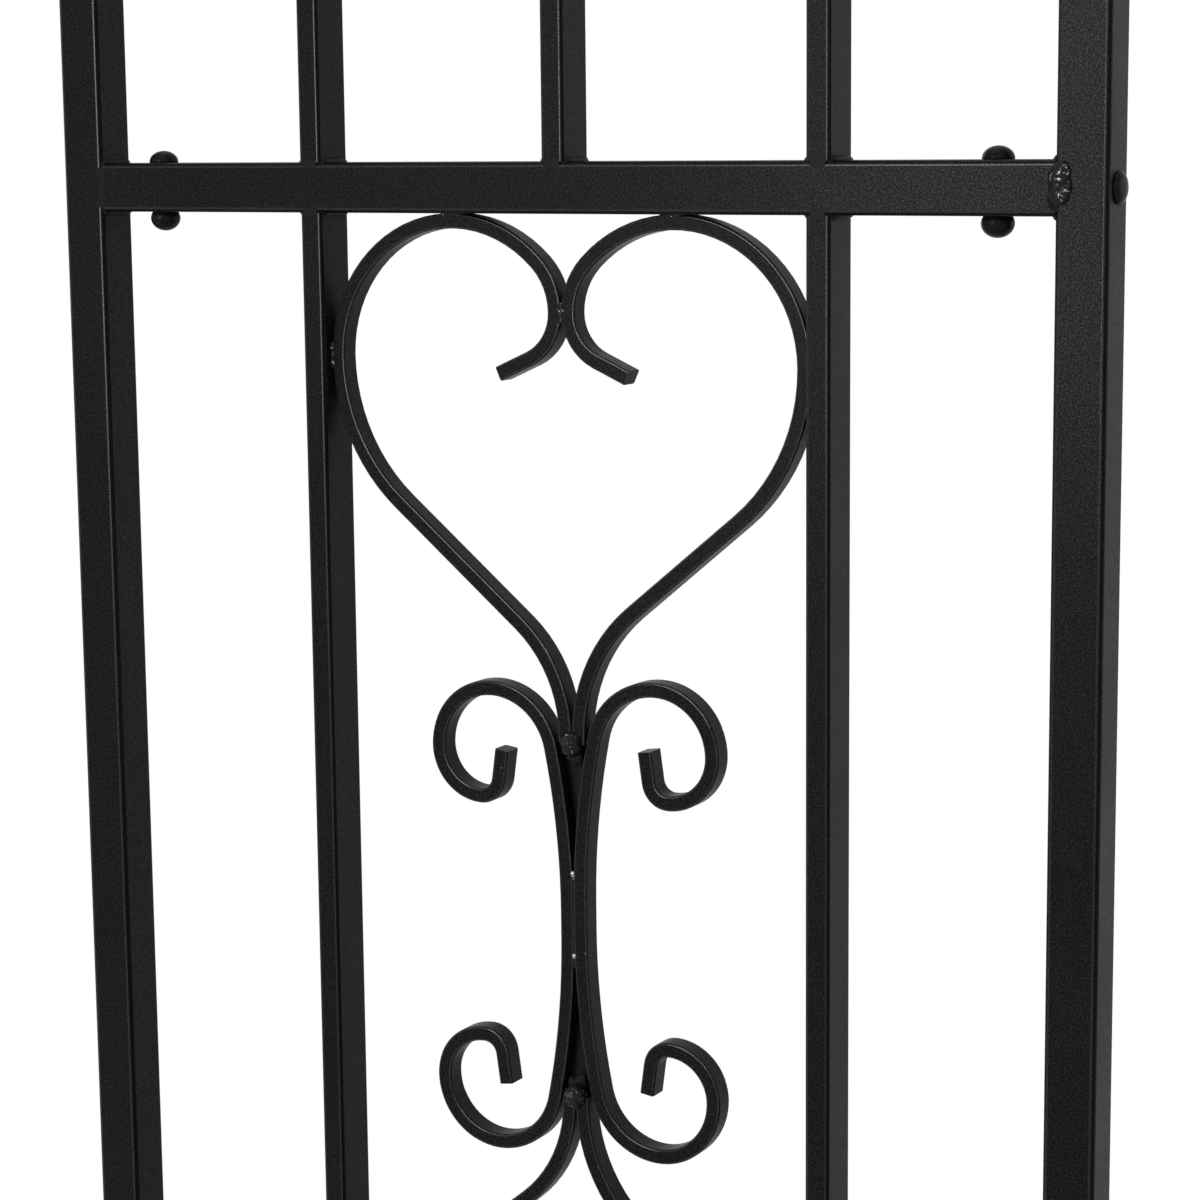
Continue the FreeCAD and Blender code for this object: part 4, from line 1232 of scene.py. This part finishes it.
# %% Finish of the floor and the surround
SHADOW_RADIUS = 1.6
WHITE_RADIUS = 3.4


def camera_sees(finish):
    """1 where the surface is seen by the camera, in a reflection or through glass, 0 elsewhere."""
    rays = [finish.add("ShaderNodeLightPath", {}, {}, output=f"Is {kind} Ray")
            for kind in ("Camera", "Glossy", "Transmission")]
    return rays[0] | rays[1] | rays[2]


ground = Finish("floor_paint")
away = ground.add("ShaderNodeVectorMath", {"operation": "LENGTH"}, {0: ground.place()},
                  output="Value")
fade = ground.add("ShaderNodeMapRange", {"interpolation_type": "SMOOTHSTEP"},
                  {"Value": away, "From Min": SHADOW_RADIUS, "From Max": WHITE_RADIUS})
pale = ground.add("ShaderNodeBsdfDiffuse", {}, {"Color": (0.84, 0.84, 0.83, 1)})
white = ground.add("ShaderNodeEmission", {}, {"Color": (1, 1, 1, 1), "Strength": 1.0})
mixed = ground.add("ShaderNodeMixShader", {}, {0: camera_sees(ground) * fade, 1: pale, 2: white})
ground.feed(ground.tree.nodes["Material Output"].inputs["Surface"], mixed)
floor_data.materials.append(ground.material)

world = bpy.data.worlds.new("studio")
bpy.context.scene.world = world
world.use_nodes = True
world.node_tree.nodes.clear()
air = Finish("studio", world.node_tree)
soft = air.add("ShaderNodeBackground", {}, {"Color": (0.95, 0.97, 1.0, 1), "Strength": 0.42})
white = air.add("ShaderNodeBackground", {}, {"Color": (1, 1, 1, 1), "Strength": 1.0})
mixed = air.add("ShaderNodeMixShader", {}, {0: camera_sees(air), 1: soft, 2: white})
air.add("ShaderNodeOutputWorld", {}, {"Surface": mixed})
print("finishes made:", len(bpy.data.materials))

# %% [markdown]
# ## Light
# Four large soft boxes and a small one light the arch. The key stands behind the camera's left
# shoulder, and its reflection is what lightens the upper part of the panel and the front end of
# the rail. The fill comes from the right, one box hangs overhead and one stands behind the arch.
# The small one is high behind the camera and gives the glints on heads and welds.

# %% Soft boxes
MIDDLE = Vector((0, 0, 1.2))


def soft_box(name, place, wide, tall, watts):
    """A rectangular lamp that faces the middle of the arch."""
    lamp = bpy.data.lights.new(name, "AREA")
    lamp.shape = "RECTANGLE"
    lamp.size = wide
    lamp.size_y = tall
    lamp.energy = watts
    box = in_scene(name, lamp)
    box.location = place
    box.rotation_mode = "QUATERNION"
    box.rotation_quaternion = (MIDDLE - Vector(place)).to_track_quat("-Z", "Y")


soft_box("key_light", (-3.32, 0.93, 2.0), 1.4, 2.2, 120)
soft_box("spark_light", (-2.9, -1.7, 3.3), 0.35, 0.35, 25)
soft_box("fill_light", (2.6, -3.4, 1.9), 1.8, 2.4, 30)
soft_box("top_light", (0.2, 0.3, 4.4), 2.6, 2.6, 60)
soft_box("back_light", (1.4, 3.8, 2.4), 2.2, 2.2, 50)
bpy.context.scene.view_settings.view_transform = "Standard"
print("lamps:", len(bpy.data.lights))

# %% [markdown]
# ## Sizes
# The box of the imported model, kept at the start, is read back.

# %% The sizes
low, high = CAD_BOX
